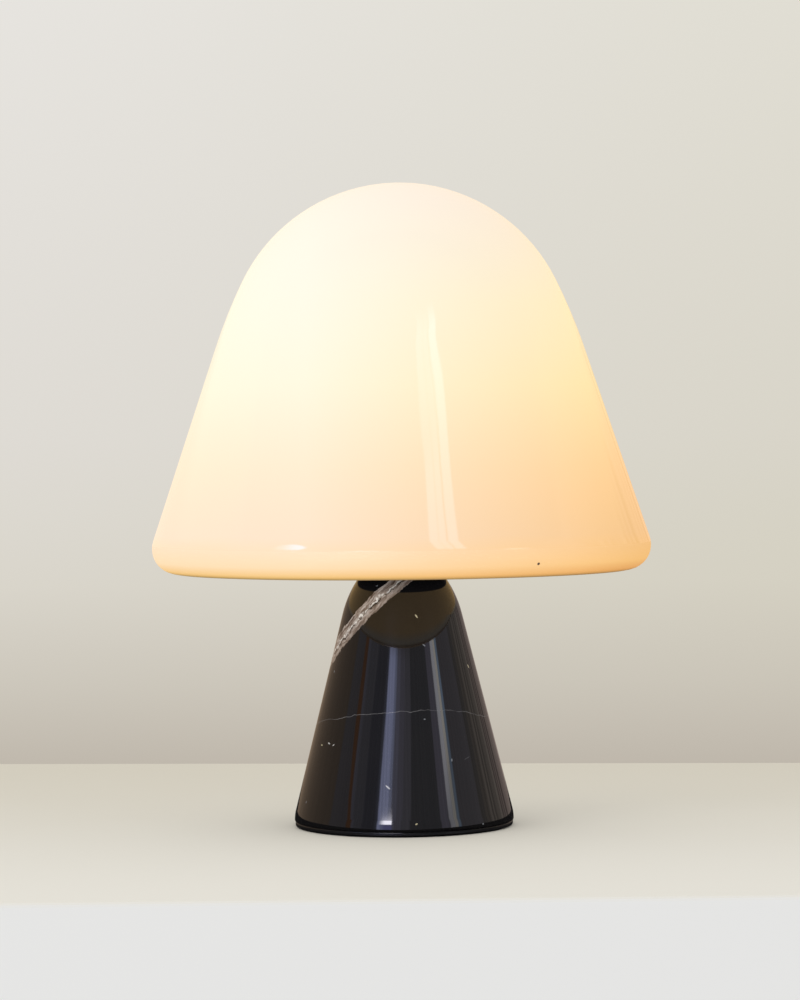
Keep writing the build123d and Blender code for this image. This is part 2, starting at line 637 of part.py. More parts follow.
def bulb_insulator():
    """Dark glass cone between the screw cap and the tip."""
    return turned_outline(
        (0, BULB_TIP_Z + TIP_HEIGHT),
        (TIP_RADIUS, BULB_TIP_Z + TIP_HEIGHT),
        (INSULATOR_RADIUS, BULB_TIP_Z + BULB_CAP_LOW),
        (INSULATOR_RADIUS, BULB_TIP_Z + INSULATOR_HIGH - BULB_CAP_SHEET),
        (0, BULB_TIP_Z + INSULATOR_HIGH - BULB_CAP_SHEET),
    )


def bulb_contact():
    return turned_outline(
        (0, BULB_TIP_Z),
        (TIP_FLAT_RADIUS, BULB_TIP_Z),
        (TIP_RADIUS, BULB_TIP_Z + TIP_BEVEL),
        (TIP_RADIUS, BULB_TIP_Z + TIP_HEIGHT),
        (0, BULB_TIP_Z + TIP_HEIGHT),
    )


def bulb_led_board():
    return disc(LED_BOARD_RADIUS, LED_BOARD_Z, SEAM_Z)


def bulb_led_chips():
    chip = Box(LED_CHIP_WIDTH, LED_CHIP_LENGTH, LED_CHIP_THICKNESS, align=UP_FROM_BASE)
    return around(LED_CHIPS, LED_CHIP_CIRCLE, Pos(0, 0, SEAM_Z) * chip)


# ---- one file for each piece or group of like pieces ----
PIECES = [
    foot_pad,
    bottom_plate,
    plate_screws,
    plate_anchors,
    marble_base,
    cord_inlet_bush,
    threaded_tube,
    tube_end_bush,
    bottom_nut,
    bottom_lock_washer,
    spread_washer,
    fibre_washer,
    shade_carrier,
    centring_ring,
    shade_gasket,
    carrier_lock_washer,
    carrier_nut,
    holder_cap,
    holder_grub_screw,
    holder_insert,
    holder_rivets,
    holder_centre_contact,
    holder_terminals,
    terminal_screws,
    holder_screw_shell,
    holder_skirt,
    bulb_contact,
    bulb_insulator,
    bulb_cap,
    bulb_housing,
    bulb_led_board,
    bulb_led_chips,
    bulb_globe,
    opal_shade,
]

os.makedirs("parts", exist_ok=True)
for make_piece in PIECES:
    piece = make_piece()
    if isinstance(piece, list):
        piece = Compound(children=piece)
    export_step(piece, f"parts/{make_piece.__name__}.step")
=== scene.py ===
from math import cos, degrees, pi, radians, sin

import bpy
from mathutils import Matrix, Vector


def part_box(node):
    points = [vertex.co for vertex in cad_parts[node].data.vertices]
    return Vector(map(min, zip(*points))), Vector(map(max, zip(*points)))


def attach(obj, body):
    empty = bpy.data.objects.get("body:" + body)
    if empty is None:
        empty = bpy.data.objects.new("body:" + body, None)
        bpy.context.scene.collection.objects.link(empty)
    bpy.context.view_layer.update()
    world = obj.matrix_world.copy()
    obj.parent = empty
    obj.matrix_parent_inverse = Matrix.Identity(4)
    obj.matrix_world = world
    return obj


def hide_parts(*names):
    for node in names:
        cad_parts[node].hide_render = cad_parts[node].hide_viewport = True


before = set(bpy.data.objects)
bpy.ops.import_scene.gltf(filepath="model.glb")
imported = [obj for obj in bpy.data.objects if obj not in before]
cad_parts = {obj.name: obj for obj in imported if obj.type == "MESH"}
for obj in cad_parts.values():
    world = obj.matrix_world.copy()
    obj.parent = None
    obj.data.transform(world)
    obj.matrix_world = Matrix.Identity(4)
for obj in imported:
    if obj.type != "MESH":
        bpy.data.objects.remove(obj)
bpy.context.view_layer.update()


# ---- Foot pad ----
# A disc punched from pressed black felt and glued under the plate, so that the heavy lamp doesn't
# scratch a table. Only its edge shows, as a thin dark line.
FELT_DARK = (0.004, 0.004, 0.004, 1)
FELT_FIBRE = (0.016, 0.015, 0.016, 1)
FELT_FIBRE_SCALE = 1800.0
FELT_NAP = 0.0004


def add_node(tree, kind, inputs=None, **settings):
    """A shader node with its settings made and its inputs, by name or number, joined or filled in."""
    made = tree.nodes.new(kind)
    for name, value in settings.items():
        setattr(made, name, value)
    for key, value in (inputs or {}).items():
        socket = made.inputs[key]
        if isinstance(value, bpy.types.NodeSocket):
            tree.links.new(value, socket)
        else:
            socket.default_value = value
    return made


def mixed(tree, share, first, second, kind="MIX"):
    """The first colour with a share of the second."""
    inputs = {0: share, 6: first, 7: second}
    return add_node(tree, "ShaderNodeMix", inputs, data_type="RGBA", blend_type=kind).outputs[2]


def noise(tree, place, scale, detail=2.0, roughness=0.5, distortion=0.0):
    """Cloudy values about 0.5, finer with a larger scale."""
    inputs = {"Vector": place, "Scale": scale, "Detail": detail}
    inputs |= {"Roughness": roughness, "Distortion": distortion}
    return add_node(tree, "ShaderNodeTexNoise", inputs).outputs["Fac"]


def bumped(tree, shader, height, depth, facing=None):
    """The surface gets a relief this many metres deep, on the way it faces."""
    inputs = {"Height": height, "Distance": depth, "Strength": 1.0}
    if facing is not None:
        inputs["Normal"] = facing
    relief = add_node(tree, "ShaderNodeBump", inputs)
    tree.links.new(relief.outputs[0], shader.inputs["Normal"])


def new_finish(name, **surface):
    """A material with its constant values set: material, node tree, shader and place on the piece."""
    finish = bpy.data.materials.new(name)
    finish.use_nodes = True
    tree = finish.node_tree
    shader = tree.nodes["Principled BSDF"]
    for key, value in surface.items():
        shader.inputs[key.replace("_", " ")].default_value = value
    place = add_node(tree, "ShaderNodeTexCoord").outputs["Object"]
    return finish, tree, shader, place


def coat(finish, *nodes):
    """Gives CAD pieces a finish."""
    for name in nodes:
        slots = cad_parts[name].data.materials
        slots.clear()
        slots.append(finish)


def make_felt():
    felt, tree, shader, place = new_finish("pressed_felt", Roughness=0.95, Specular_IOR_Level=0.1)
    fibres = noise(tree, place, FELT_FIBRE_SCALE, 4.0, 0.7, 1.5)
    tree.links.new(mixed(tree, fibres, FELT_DARK, FELT_FIBRE), shader.inputs["Base Color"])
    bumped(tree, shader, fibres, FELT_NAP)
    return felt


coat(make_felt(), "foot_pad")


# ---- Bottom plate and shade carrier ----
# Turned steel discs, powder coated in satin black. The bottom plate closes the wiring pocket, and the
# carrier with its welded ring holds the glass. Only the plate's edge and a dark ring in the stone show.
COAT_BLACK = (0.0045, 0.0045, 0.0055, 1)
COAT_WORN = (0.009, 0.009, 0.010, 1)
COAT_GRAIN_SCALE = 2400.0
COAT_GRAIN = 0.00002
COAT_WEAR_SCALE = 70.0
COAT_ROUGHNESS = 0.22
COAT_WORN_ROUGHER = 0.16


def sums(tree, operation, *terms):
    """Result of one step of arithmetic."""
    return add_node(tree, "ShaderNodeMath", dict(enumerate(terms)), operation=operation).outputs[0]


def make_powder_coat():
    powder, tree, shader, place = new_finish("satin_black_powder", Specular_IOR_Level=0.45)
    grain = noise(tree, place, COAT_GRAIN_SCALE, 2.0, 0.6)
    wear = noise(tree, place, COAT_WEAR_SCALE, 3.0, 0.6)
    tree.links.new(mixed(tree, wear, COAT_BLACK, COAT_WORN), shader.inputs["Base Color"])
    roughness = sums(tree, "MULTIPLY_ADD", wear, COAT_WORN_ROUGHER, COAT_ROUGHNESS)
    tree.links.new(roughness, shader.inputs["Roughness"])
    bumped(tree, shader, grain, COAT_GRAIN)
    return powder


coat(make_powder_coat(), "bottom_plate", "shade_carrier", "centring_ring")


# ---- Small steel: screws, nuts, washers ----
# Stamped and turned steel, zinc plated: pale grey with a faint blue and yellow cast, and turning marks.
ZINC_BLUE = (0.50, 0.54, 0.60, 1)
ZINC_YELLOW = (0.66, 0.62, 0.52, 1)
PLATING_CLOUDS_SCALE = 220.0
TOOL_MARKS_SCALE = 1500.0
TOOL_MARKS_ROUGHER = 0.18
TOOL_MARKS = 0.00003


def metal(name, first, second, smoothest):
    """Bare or plated metal whose colour and polish vary a little from place to place."""
    made, tree, shader, place = new_finish(name, Metallic=1.0)
    clouds = noise(tree, place, PLATING_CLOUDS_SCALE, 3.0, 0.6)
    marks = noise(tree, place, TOOL_MARKS_SCALE, 2.0)
    tree.links.new(mixed(tree, clouds, first, second), shader.inputs["Base Color"])
    roughness = sums(tree, "MULTIPLY_ADD", marks, TOOL_MARKS_ROUGHER, smoothest)
    tree.links.new(roughness, shader.inputs["Roughness"])
    bumped(tree, shader, marks, TOOL_MARKS)
    return made


zinc = metal("zinc_plate", ZINC_BLUE, ZINC_YELLOW, smoothest=0.24)
coat(zinc, "plate_screws", "bottom_nut", "bottom_lock_washer", "spread_washer")
coat(zinc, "carrier_lock_washer", "carrier_nut", "holder_grub_screw", "terminal_screws")


# ---- Brass: plate anchors, rivets, contacts and terminals ----
# Drawn and machined brass, slightly tarnished, left bare because it carries current or sits in the stone.
BRASS_BRIGHT = (0.78, 0.58, 0.27, 1)
BRASS_DULL = (0.50, 0.34, 0.14, 1)
brass = metal("plain_brass", BRASS_BRIGHT, BRASS_DULL, smoothest=0.22)
coat(brass, "plate_anchors", "holder_rivets", "holder_centre_contact", "holder_terminals")


# ---- Threaded steel tube ----
# M10 x 1 hollow tube, zinc plated, that ties base, carrier and lampholder together. Its rolled thread is
# a relief in the finish.
TUBE_PITCH = 0.001
TUBE_THREAD = 0.0005
THREAD_ROOT_SHADE = (0.1, 0.1, 0.1, 1)  # how much light reaches the root of a thread
THREAD_CLOUDS_ROUGHER = 0.15


def thread_wave(tree, place, pitch):
    """0 at the root and 1 at the crest of a right-hand thread about the lamp's axis."""
    apart = add_node(tree, "ShaderNodeSeparateXYZ", {0: place}).outputs
    turns = sums(tree, "DIVIDE", sums(tree, "ARCTAN2", apart["Y"], apart["X"]), 2 * pi)
    along = sums(tree, "SUBTRACT", sums(tree, "DIVIDE", apart["Z"], pitch), turns)
    wave = sums(tree, "COSINE", sums(tree, "MULTIPLY", along, 2 * pi))
    return sums(tree, "MULTIPLY_ADD", wave, 0.5, 0.5)


def make_threaded(name, first, second, smoothest, pitch, depth):
    """Metal with a screw thread as its relief, and painted shade in the thread's root."""
    threaded, tree, shader, place = new_finish(name, Metallic=1.0)
    clouds = noise(tree, place, PLATING_CLOUDS_SCALE, 3.0, 0.6)
    wave = thread_wave(tree, place, pitch)
    plated = mixed(tree, clouds, first, second)
    # Painted shade: the thread's root is darkened where less light reaches it.
    root_shade = sums(tree, "MULTIPLY_ADD", wave, -0.5, 0.5)
    tree.links.new(mixed(tree, root_shade, plated, THREAD_ROOT_SHADE, "MULTIPLY"), shader.inputs["Base Color"])
    roughness = sums(tree, "MULTIPLY_ADD", clouds, THREAD_CLOUDS_ROUGHER, smoothest)
    tree.links.new(roughness, shader.inputs["Roughness"])
    bumped(tree, shader, wave, depth)
    return threaded


rolled_thread = make_threaded(
    "rolled_thread", ZINC_BLUE, ZINC_YELLOW, smoothest=0.25, pitch=TUBE_PITCH, depth=TUBE_THREAD
)
coat(rolled_thread, "threaded_tube")


# ---- Stone: the cone ----
# Turned from black marble and polished to a mirror. A broad brown and white vein runs down from the top
# left, a hairline crosses the middle, and small pale flecks lie where the tool opened the stone's grain.
STONE_BLACK = (0.0045, 0.0045, 0.0055, 1)
STONE_CLOUD = (0.0085, 0.0078, 0.0078, 1)
VEIN_DEEP = (0.10, 0.068, 0.052, 1)
VEIN_BROWN = (0.250, 0.190, 0.155, 1)
VEIN_PALE = (0.52, 0.45, 0.40, 1)
VEIN_WHITE = (0.80, 0.76, 0.70, 1)
VEIN_DARK = (0.020, 0.014, 0.013, 1)
HAIR_GREY = (0.15, 0.145, 0.15, 1)
HAIR_HALF = (0.03, 0.22)
FLECK_PALE = (0.52, 0.51, 0.50, 1)
FLECK_YELLOW = (0.52, 0.46, 0.30, 1)
FLECK_GREY = (0.20, 0.21, 0.23, 1)
FLECK_DIM = (0.06, 0.06, 0.065, 1)
MM = 1000.0
# Each vein fills a crack that ran through the block as a plane: its direction, and its distance in mm.
BROAD_VEIN = ((0.633, -0.280, -0.722), -83.6)
BROAD_VEIN_HALF = 4.1
BACK_VEIN = ((0.30, 0.85, -0.433), 21.0)
BACK_VEIN_HALF = 1.3
VEIN_EDGE = 0.35
VEIN_BEND = 2.5
VEIN_RAGGED = 2.2
VEIN_RELIEF = 0.00004
# Inside a vein: how far the distances reach is in mm, and how fine the patches are is by the mm.
LAYERS_ALONG = 0.20
LAYERS_ACROSS = 1.15
BROWN_LAYERS = (0.36, 0.50)
PALE_LAYERS = (0.46, 0.62)
BROWNER_SIDE = (0.5, 4.0)
BROWNER_BY = 0.5
LINE_WANDERS = 4.4
LINE_WANDERS_SCALE = 0.26
LINE_HALF = (0.2, 0.75)
LINE_PATCHES_SCALE = 0.6
LINE_PATCHES = (0.36, 0.56)
CRACK_ASIDE = 0.85
CRACK_HALF = (0.15, 0.5)
CRACK_PATCHES_SCALE = 0.35
CRACK_PATCHES = (0.47, 0.54)
HAIRLINE = ((-0.028, 0.205, 0.978), 50.7)
HAIRLINE_BEND = 5.0
HAIR_PATCHES_SCALE = 0.06
HAIR_PATCHES = (0.30, 0.62)
STONE_CLOUDS_SCALE = 0.035
WAVE_SCALE = 0.09
RIPPLE_SCALE = 0.45
STONE_POLISH_SCALE = 0.3
STONE_ROUGHNESS = 0.02
STONE_CLOUDS_ROUGHER = 0.02
VEIN_ROUGHER = 0.08
FLECK_RAGGED = 0.5
FLECK_EDGE = (0.8, 1.25)
FLECKS = (
    # place in mm, how the fleck leans in degrees, its half length and half width in mm, and its colour
    ((-12.4, -20.4, 121.4), 20, 0.7, 0.4, FLECK_GREY),
    ((7.0, -29.1, 106.5), -58, 1.7, 0.44, FLECK_YELLOW),
    ((10.6, -31.7, 92.3), -40, 1.2, 0.4, FLECK_GREY),
    ((32.6, -16.2, 80.7), -75, 1.6, 0.48, FLECK_YELLOW),
    ((-34.1, -14.0, 78.6), 80, 0.9, 0.4, FLECK_GREY),
    ((-40.6, -21.4, 42.6), 0, 1.0, 0.36, FLECK_YELLOW),
    ((-37.0, -26.7, 43.9), -15, 1.2, 0.44, FLECK_PALE),
    ((-34.6, -29.8, 43.3), 35, 0.9, 0.4, FLECK_PALE),
    ((10.5, -41.1, 56.6), 0, 0.7, 0.4, FLECK_GREY),
    ((23.6, -41.1, 36.4), 80, 1.3, 0.4, FLECK_GREY),
    ((-7.9, -49.8, 24.2), -42, 2.2, 0.48, FLECK_PALE),
    ((-48.7, -20.9, 14.2), 80, 0.9, 0.36, FLECK_GREY),
    ((31.7, -35.1, 37.0), 18, 4.5, 0.2, FLECK_DIM),
    ((5.9, -54.5, 6.6), 30, 0.8, 0.48, FLECK_YELLOW),
    ((38.7, -39.0, 4.6), 0, 0.7, 0.4, FLECK_GREY),
    ((30.0, 28.5, 62.0), 50, 1.6, 0.4, FLECK_PALE),
    ((-12.0, 37.0, 70.0), -30, 1.8, 0.4, FLECK_YELLOW),
    ((9.0, 49.0, 27.0), 10, 1.4, 0.4, FLECK_GREY),
)


def step_up(tree, value, low, high):
    """0 below low, 1 above high, and smooth between."""
    inputs = {"Value": value, "From Min": low, "From Max": high}
    return add_node(tree, "ShaderNodeMapRange", inputs, interpolation_type="SMOOTHSTEP").outputs[0]


def step_down(tree, value, low, high):
    """1 below low, 0 above high, and smooth between."""
    inputs = {"Value": value, "From Min": low, "From Max": high, "To Min": 1.0, "To Max": 0.0}
    return add_node(tree, "ShaderNodeMapRange", inputs, interpolation_type="SMOOTHSTEP").outputs[0]


def vector_sum(tree, operation, *terms, outlet=0):
    """Result of one step of vector arithmetic."""
    return add_node(tree, "ShaderNodeVectorMath", dict(enumerate(terms)), operation=operation).outputs[outlet]


def plane_distance(tree, place_mm, direction, offset):
    """How far a place is from a plane through the stone."""
    reach = vector_sum(tree, "DOT_PRODUCT", place_mm, direction, outlet="Value")
    return sums(tree, "SUBTRACT", reach, offset)


def wavy(tree, across, wave, amount):
    """A distance bent to and fro by a wave, by this many mm in all."""
    return sums(tree, "MULTIPLY_ADD", sums(tree, "SUBTRACT", wave, 0.5), amount, across)


def vein_fill(tree, across, place_mm):
    """Colour inside a vein: brown and pale layers that run along it, a ragged white line and dark cracks."""
    coarse = vector_sum(tree, "MULTIPLY", place_mm, (LAYERS_ALONG,) * 3)
    layered = sums(tree, "MULTIPLY", across, LAYERS_ACROSS)
    layered = add_node(tree, "ShaderNodeCombineXYZ", {0: layered}).outputs[0]
    streak = noise(tree, vector_sum(tree, "ADD", coarse, layered), 1.0, 3.0, 0.6, 0.5)
    fill = mixed(tree, step_up(tree, streak, *BROWN_LAYERS), VEIN_DEEP, VEIN_BROWN)
    fill = mixed(tree, step_up(tree, streak, *PALE_LAYERS), fill, VEIN_PALE)
    browner = sums(tree, "MULTIPLY", step_up(tree, across, *BROWNER_SIDE), BROWNER_BY)
    fill = mixed(tree, browner, fill, VEIN_BROWN)

    wander = noise(tree, place_mm, LINE_WANDERS_SCALE, 4.0, 0.75)
    wander = sums(tree, "MULTIPLY_ADD", wander, LINE_WANDERS, -LINE_WANDERS / 2)
    inner = sums(tree, "ADD", across, wander)
    line = step_down(tree, sums(tree, "ABSOLUTE", inner), *LINE_HALF)
    bright = step_up(tree, noise(tree, place_mm, LINE_PATCHES_SCALE, 2.0), *LINE_PATCHES)
    fill = mixed(tree, sums(tree, "MULTIPLY", line, bright), fill, VEIN_WHITE)

    crack = sums(tree, "ABSOLUTE", sums(tree, "ADD", inner, -CRACK_ASIDE))
    crack = step_down(tree, crack, *CRACK_HALF)
    broken = step_up(tree, noise(tree, place_mm, CRACK_PATCHES_SCALE, 2.0), *CRACK_PATCHES)
    return mixed(tree, sums(tree, "MULTIPLY", crack, broken), fill, VEIN_DARK)


def with_flecks(tree, colour, place_mm, ripple):
    """The stone's colour with the small ragged flecks added."""
    for centre, tilt, length, width, tint in FLECKS:
        outward = Vector((centre[0], centre[1], 0)).normalized()
        sideways = Vector((-outward.y, outward.x, 0))
        lie = sideways * cos(radians(tilt)) + Vector((0, 0, 1)) * sin(radians(tilt))
        turned = lie.to_track_quat("X", "Z").to_euler()
        inputs = {"Vector": place_mm, "Location": centre, "Rotation": turned, "Scale": (length, width, width)}
        away = add_node(tree, "ShaderNodeMapping", inputs, vector_type="TEXTURE").outputs[0]
        away = vector_sum(tree, "LENGTH", away, outlet="Value")
        away = sums(tree, "MULTIPLY_ADD", ripple, FLECK_RAGGED, away)
        colour = mixed(tree, step_down(tree, away, *FLECK_EDGE), colour, tint)
    return colour


def make_stone():
    stone, tree, shader, place = new_finish("black_marble", Specular_IOR_Level=0.5)
    place_mm = vector_sum(tree, "MULTIPLY", place, (MM, MM, MM))
    clouds = noise(tree, place_mm, STONE_CLOUDS_SCALE, 4.0, 0.6, 0.6)
    colour = mixed(tree, clouds, STONE_BLACK, STONE_CLOUD)
    wave = noise(tree, place_mm, WAVE_SCALE, 3.0, 0.5)
    ripple = noise(tree, place_mm, RIPPLE_SCALE, 3.0, 0.6)

    hair = wavy(tree, plane_distance(tree, place_mm, *HAIRLINE), wave, HAIRLINE_BEND)
    thread = step_down(tree, sums(tree, "ABSOLUTE", hair), *HAIR_HALF)
    strength = step_up(tree, noise(tree, place_mm, HAIR_PATCHES_SCALE, 3.0, 0.7), *HAIR_PATCHES)
    colour = mixed(tree, sums(tree, "MULTIPLY", thread, strength), colour, HAIR_GREY)

    in_veins = None
    for plane, half in ((BACK_VEIN, BACK_VEIN_HALF), (BROAD_VEIN, BROAD_VEIN_HALF)):
        across = wavy(tree, plane_distance(tree, place_mm, *plane), wave, VEIN_BEND)
        across = wavy(tree, across, ripple, VEIN_RAGGED)
        in_vein = step_down(tree, sums(tree, "ABSOLUTE", across), half - VEIN_EDGE, half)
        colour = mixed(tree, in_vein, colour, vein_fill(tree, across, place_mm))
        in_veins = in_vein if in_veins is None else sums(tree, "MAXIMUM", in_veins, in_vein)

    tree.links.new(with_flecks(tree, colour, place_mm, ripple), shader.inputs["Base Color"])
    polish = noise(tree, place_mm, STONE_POLISH_SCALE, 3.0, 0.6)
    polish = sums(tree, "MULTIPLY_ADD", polish, STONE_CLOUDS_ROUGHER, STONE_ROUGHNESS)
    tree.links.new(sums(tree, "MULTIPLY_ADD", in_veins, VEIN_ROUGHER, polish), shader.inputs["Roughness"])
    bumped(tree, shader, sums(tree, "MULTIPLY", in_veins, ripple), VEIN_RELIEF)
    return stone


coat(make_stone(), "marble_base")


# ---- Black mouldings: cord inlet bush, tube end bush and lampholder ----
# Semi-gloss black thermoplastic with the fine spark texture of its mould.
MOULDING_BLACK = (0.012, 0.012, 0.013, 1)
MOULDING_SCUFFED = (0.024, 0.024, 0.025, 1)
SPARK_SCALE = 3000.0
SPARK_DEPTH = 0.00003
SCUFFS_SCALE = 120.0
SCUFFS_ROUGHER = 0.2
MOULDING_ROUGHNESS = 0.25


def make_moulding():
    moulding, tree, shader, place = new_finish("black_moulding", Specular_IOR_Level=0.5)
    spark = noise(tree, place, SPARK_SCALE, 2.0, 0.5)
    scuffs = noise(tree, place, SCUFFS_SCALE, 4.0, 0.65)
    tree.links.new(mixed(tree, scuffs, MOULDING_BLACK, MOULDING_SCUFFED), shader.inputs["Base Color"])
    roughness = sums(tree, "MULTIPLY_ADD", scuffs, SCUFFS_ROUGHER, MOULDING_ROUGHNESS)
    tree.links.new(roughness, shader.inputs["Roughness"])
    bumped(tree, shader, spark, SPARK_DEPTH)
    return moulding


coat(make_moulding(), "cord_inlet_bush", "tube_end_bush", "holder_cap", "holder_skirt")


# ---- Fibre washer and shade gasket ----
# A red-brown washer of vulcanised fibre keeps the carrier off the polished stone, and a soft black
# silicone ring keeps the glass off the carrier.
FIBRE_BROWN = (0.30, 0.09, 0.05, 1)
FIBRE_PALE = (0.42, 0.17, 0.10, 1)
SILICONE_BLACK = (0.016, 0.016, 0.017, 1)
SILICONE_DUSTY = (0.040, 0.040, 0.041, 1)
MATT_GRAIN = 0.00005


def soft_matt(name, first, second, scale, rough):
    """Matt, slightly mottled material."""
    made, tree, shader, place = new_finish(name, Roughness=rough)
    grain = noise(tree, place, scale, 4.0, 0.7)
    tree.links.new(mixed(tree, grain, first, second), shader.inputs["Base Color"])
    bumped(tree, shader, grain, MATT_GRAIN)
    return made


coat(soft_matt("vulcanised_fibre", FIBRE_BROWN, FIBRE_PALE, scale=900.0, rough=0.7), "fibre_washer")
silicone = soft_matt("black_silicone", SILICONE_BLACK, SILICONE_DUSTY, scale=1200.0, rough=0.6)
coat(silicone, "shade_gasket")


# ---- Lampholder: ceramic insert and screw shell ----
# A glazed white ceramic disc carries the contacts, and a pressed brass shell with the E27 thread stands
# on it. The thread is a relief in the brass.
CERAMIC_WHITE = (0.80, 0.79, 0.75, 1)
CERAMIC_CREAM = (0.70, 0.68, 0.62, 1)
CERAMIC_SPECK = (0.3, 0.25, 0.2, 1)
SPECKS_SCALE = 2500.0
SPECKS_SHOW = (0.70, 0.78)
GLAZE_SCALE = 150.0
GLAZE_WAVES = 0.0001
E27_PITCH = 0.003629
SHELL_THREAD = 0.0009


def make_ceramic():
    ceramic, tree, shader, place = new_finish("glazed_ceramic", Roughness=0.15)
    glaze = noise(tree, place, GLAZE_SCALE, 3.0, 0.6)
    specks = step_up(tree, noise(tree, place, SPECKS_SCALE, 2.0), *SPECKS_SHOW)
    body = mixed(tree, glaze, CERAMIC_WHITE, CERAMIC_CREAM)
    tree.links.new(mixed(tree, specks, body, CERAMIC_SPECK), shader.inputs["Base Color"])
    bumped(tree, shader, glaze, GLAZE_WAVES)
    return ceramic


coat(make_ceramic(), "holder_insert")
pressed_thread = make_threaded(
    "pressed_thread", BRASS_BRIGHT, BRASS_DULL, smoothest=0.2, pitch=E27_PITCH, depth=SHELL_THREAD
)
coat(pressed_thread, "holder_screw_shell")


# ---- Bulb: screw cap ----
# Pressed from thin nickel-plated brass, with the E27 thread rolled in, crimped on the housing above and
# drawn in round the glass insulator below.
NICKEL_BRIGHT = (0.66, 0.63, 0.58, 1)
NICKEL_DULL = (0.50, 0.48, 0.45, 1)
CAP_RADIUS = 0.0132
CAP_WALL = 0.0003
CAP_FOOT_RADIUS = 0.0114
THREAD_DEPTH = 0.0009
THREAD_STARTS = 0.0020  # above the cap's lower edge
THREAD_ENDS = 0.0030  # below its upper edge
THREAD_RUN = 0.0012  # height over which the thread grows and fades
CAP_TURN_STEPS = 96
CAP_ROW = 0.00025


def ease(value, low, high):
    """0 below low, 1 above high, and smooth between."""
    part = min(max((value - low) / (high - low), 0.0), 1.0)
    return part * part * (3 - 2 * part)


def mesh_piece(name, points, faces, finish, smooth=True):
    """A new object with this mesh and finish."""
    mesh = bpy.data.meshes.new(name)
    mesh.from_pydata(points, [], faces)
    mesh.materials.append(finish)
    mesh.polygons.foreach_set("use_smooth", [smooth] * len(mesh.polygons))
    mesh.update()
    piece = bpy.data.objects.new(name, mesh)
    bpy.context.scene.collection.objects.link(piece)
    return piece


def make_screw_cap():
    """The cap's thin wall as a ring of rows up the outside and down the inside."""
    low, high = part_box("bulb_cap")
    rows = round((high.z - low.z) / CAP_ROW)
    outside = []
    for row in range(rows + 1):
        z = low.z + (high.z - low.z) * row / rows
        flare = ease(z, low.z, low.z + THREAD_STARTS)
        radius = CAP_FOOT_RADIUS + (CAP_RADIUS - CAP_FOOT_RADIUS) * flare
        growth = ease(z, low.z + THREAD_STARTS, low.z + THREAD_STARTS + THREAD_RUN)
        growth *= 1 - ease(z, high.z - THREAD_ENDS - THREAD_RUN, high.z - THREAD_ENDS)
        outside.append((z, radius, THREAD_DEPTH * growth))
    inside = [(z, radius - CAP_WALL, depth) for z, radius, depth in reversed(outside)]
    points = []
    for z, radius, depth in outside + inside:
        for n in range(CAP_TURN_STEPS):
            turn = n / CAP_TURN_STEPS
            root = 0.5 - 0.5 * cos(2 * pi * (z / E27_PITCH - turn))
            at = radius - depth * root
            points.append((at * cos(2 * pi * turn), at * sin(2 * pi * turn), z))
    rings = len(outside) + len(inside)
    faces = [
        (
            ring * CAP_TURN_STEPS + n,
            ring * CAP_TURN_STEPS + (n + 1) % CAP_TURN_STEPS,
            (ring + 1) % rings * CAP_TURN_STEPS + (n + 1) % CAP_TURN_STEPS,
            (ring + 1) % rings * CAP_TURN_STEPS + n,
        )
        for ring in range(rings)
        for n in range(CAP_TURN_STEPS)
    ]
    return mesh_piece("bulb_screw_cap", points, faces, nickel)


nickel = metal("nickel_plate", NICKEL_BRIGHT, NICKEL_DULL, smoothest=0.18)
coat(nickel, "bulb_contact")
screw_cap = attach(make_screw_cap(), "bulb")
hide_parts("bulb_cap")


# ---- Bulb: insulator, housing, light board and chips ----
# Black glass insulates the tip. The housing is moulded white plastic with a faint orange-peel surface,
# and carries the white board with its yellow light-emitting chips.
HOUSING_WHITE = (0.78, 0.77, 0.74, 1)
HOUSING_CREAM = (0.70, 0.68, 0.63, 1)
INSULATOR_BLACK = (0.006, 0.005, 0.008, 1)
INSULATOR_VIOLET = (0.03, 0.025, 0.035, 1)
INSULATOR_SWIRL = 0.00008
SWIRL_SCALE = 260.0
ENAMEL_WHITE = (0.76, 0.77, 0.78, 1)
ENAMEL_GREY = (0.68, 0.69, 0.70, 1)
PHOSPHOR_DEEP = (0.85, 0.62, 0.12, 1)
PHOSPHOR_PALE = (0.95, 0.75, 0.25, 1)
PHOSPHOR_SCALE = 2600.0
CHIP_LIGHT_WARM = (0.9, 0.7, 0.35, 1)
CHIP_LIGHT_PALE = (1.0, 0.85, 0.5, 1)


def make_black_glass():
    glass, tree, shader, place = new_finish("insulator_glass", Roughness=0.06)
    swirl = noise(tree, place, SWIRL_SCALE, 3.0, 0.6, 1.0)
    tree.links.new(mixed(tree, swirl, INSULATOR_BLACK, INSULATOR_VIOLET), shader.inputs["Base Color"])
    bumped(tree, shader, swirl, INSULATOR_SWIRL)
    return glass


def make_light_chip():
    chip, tree, shader, place = new_finish("chip_phosphor", Roughness=0.4, Emission_Strength=1.0)
    grain = noise(tree, place, PHOSPHOR_SCALE, 2.0)
    tree.links.new(mixed(tree, grain, PHOSPHOR_DEEP, PHOSPHOR_PALE), shader.inputs["Base Color"])
    tree.links.new(mixed(tree, grain, CHIP_LIGHT_WARM, CHIP_LIGHT_PALE), shader.inputs["Emission Color"])
    return chip


coat(make_black_glass(), "bulb_insulator")
housing = soft_matt("moulded_white", HOUSING_WHITE, HOUSING_CREAM, scale=320.0, rough=0.38)
coat(housing, "bulb_housing")
coat(soft_matt("board_enamel", ENAMEL_WHITE, ENAMEL_GREY, scale=800.0, rough=0.3), "bulb_led_board")
coat(make_light_chip(), "bulb_led_chips")


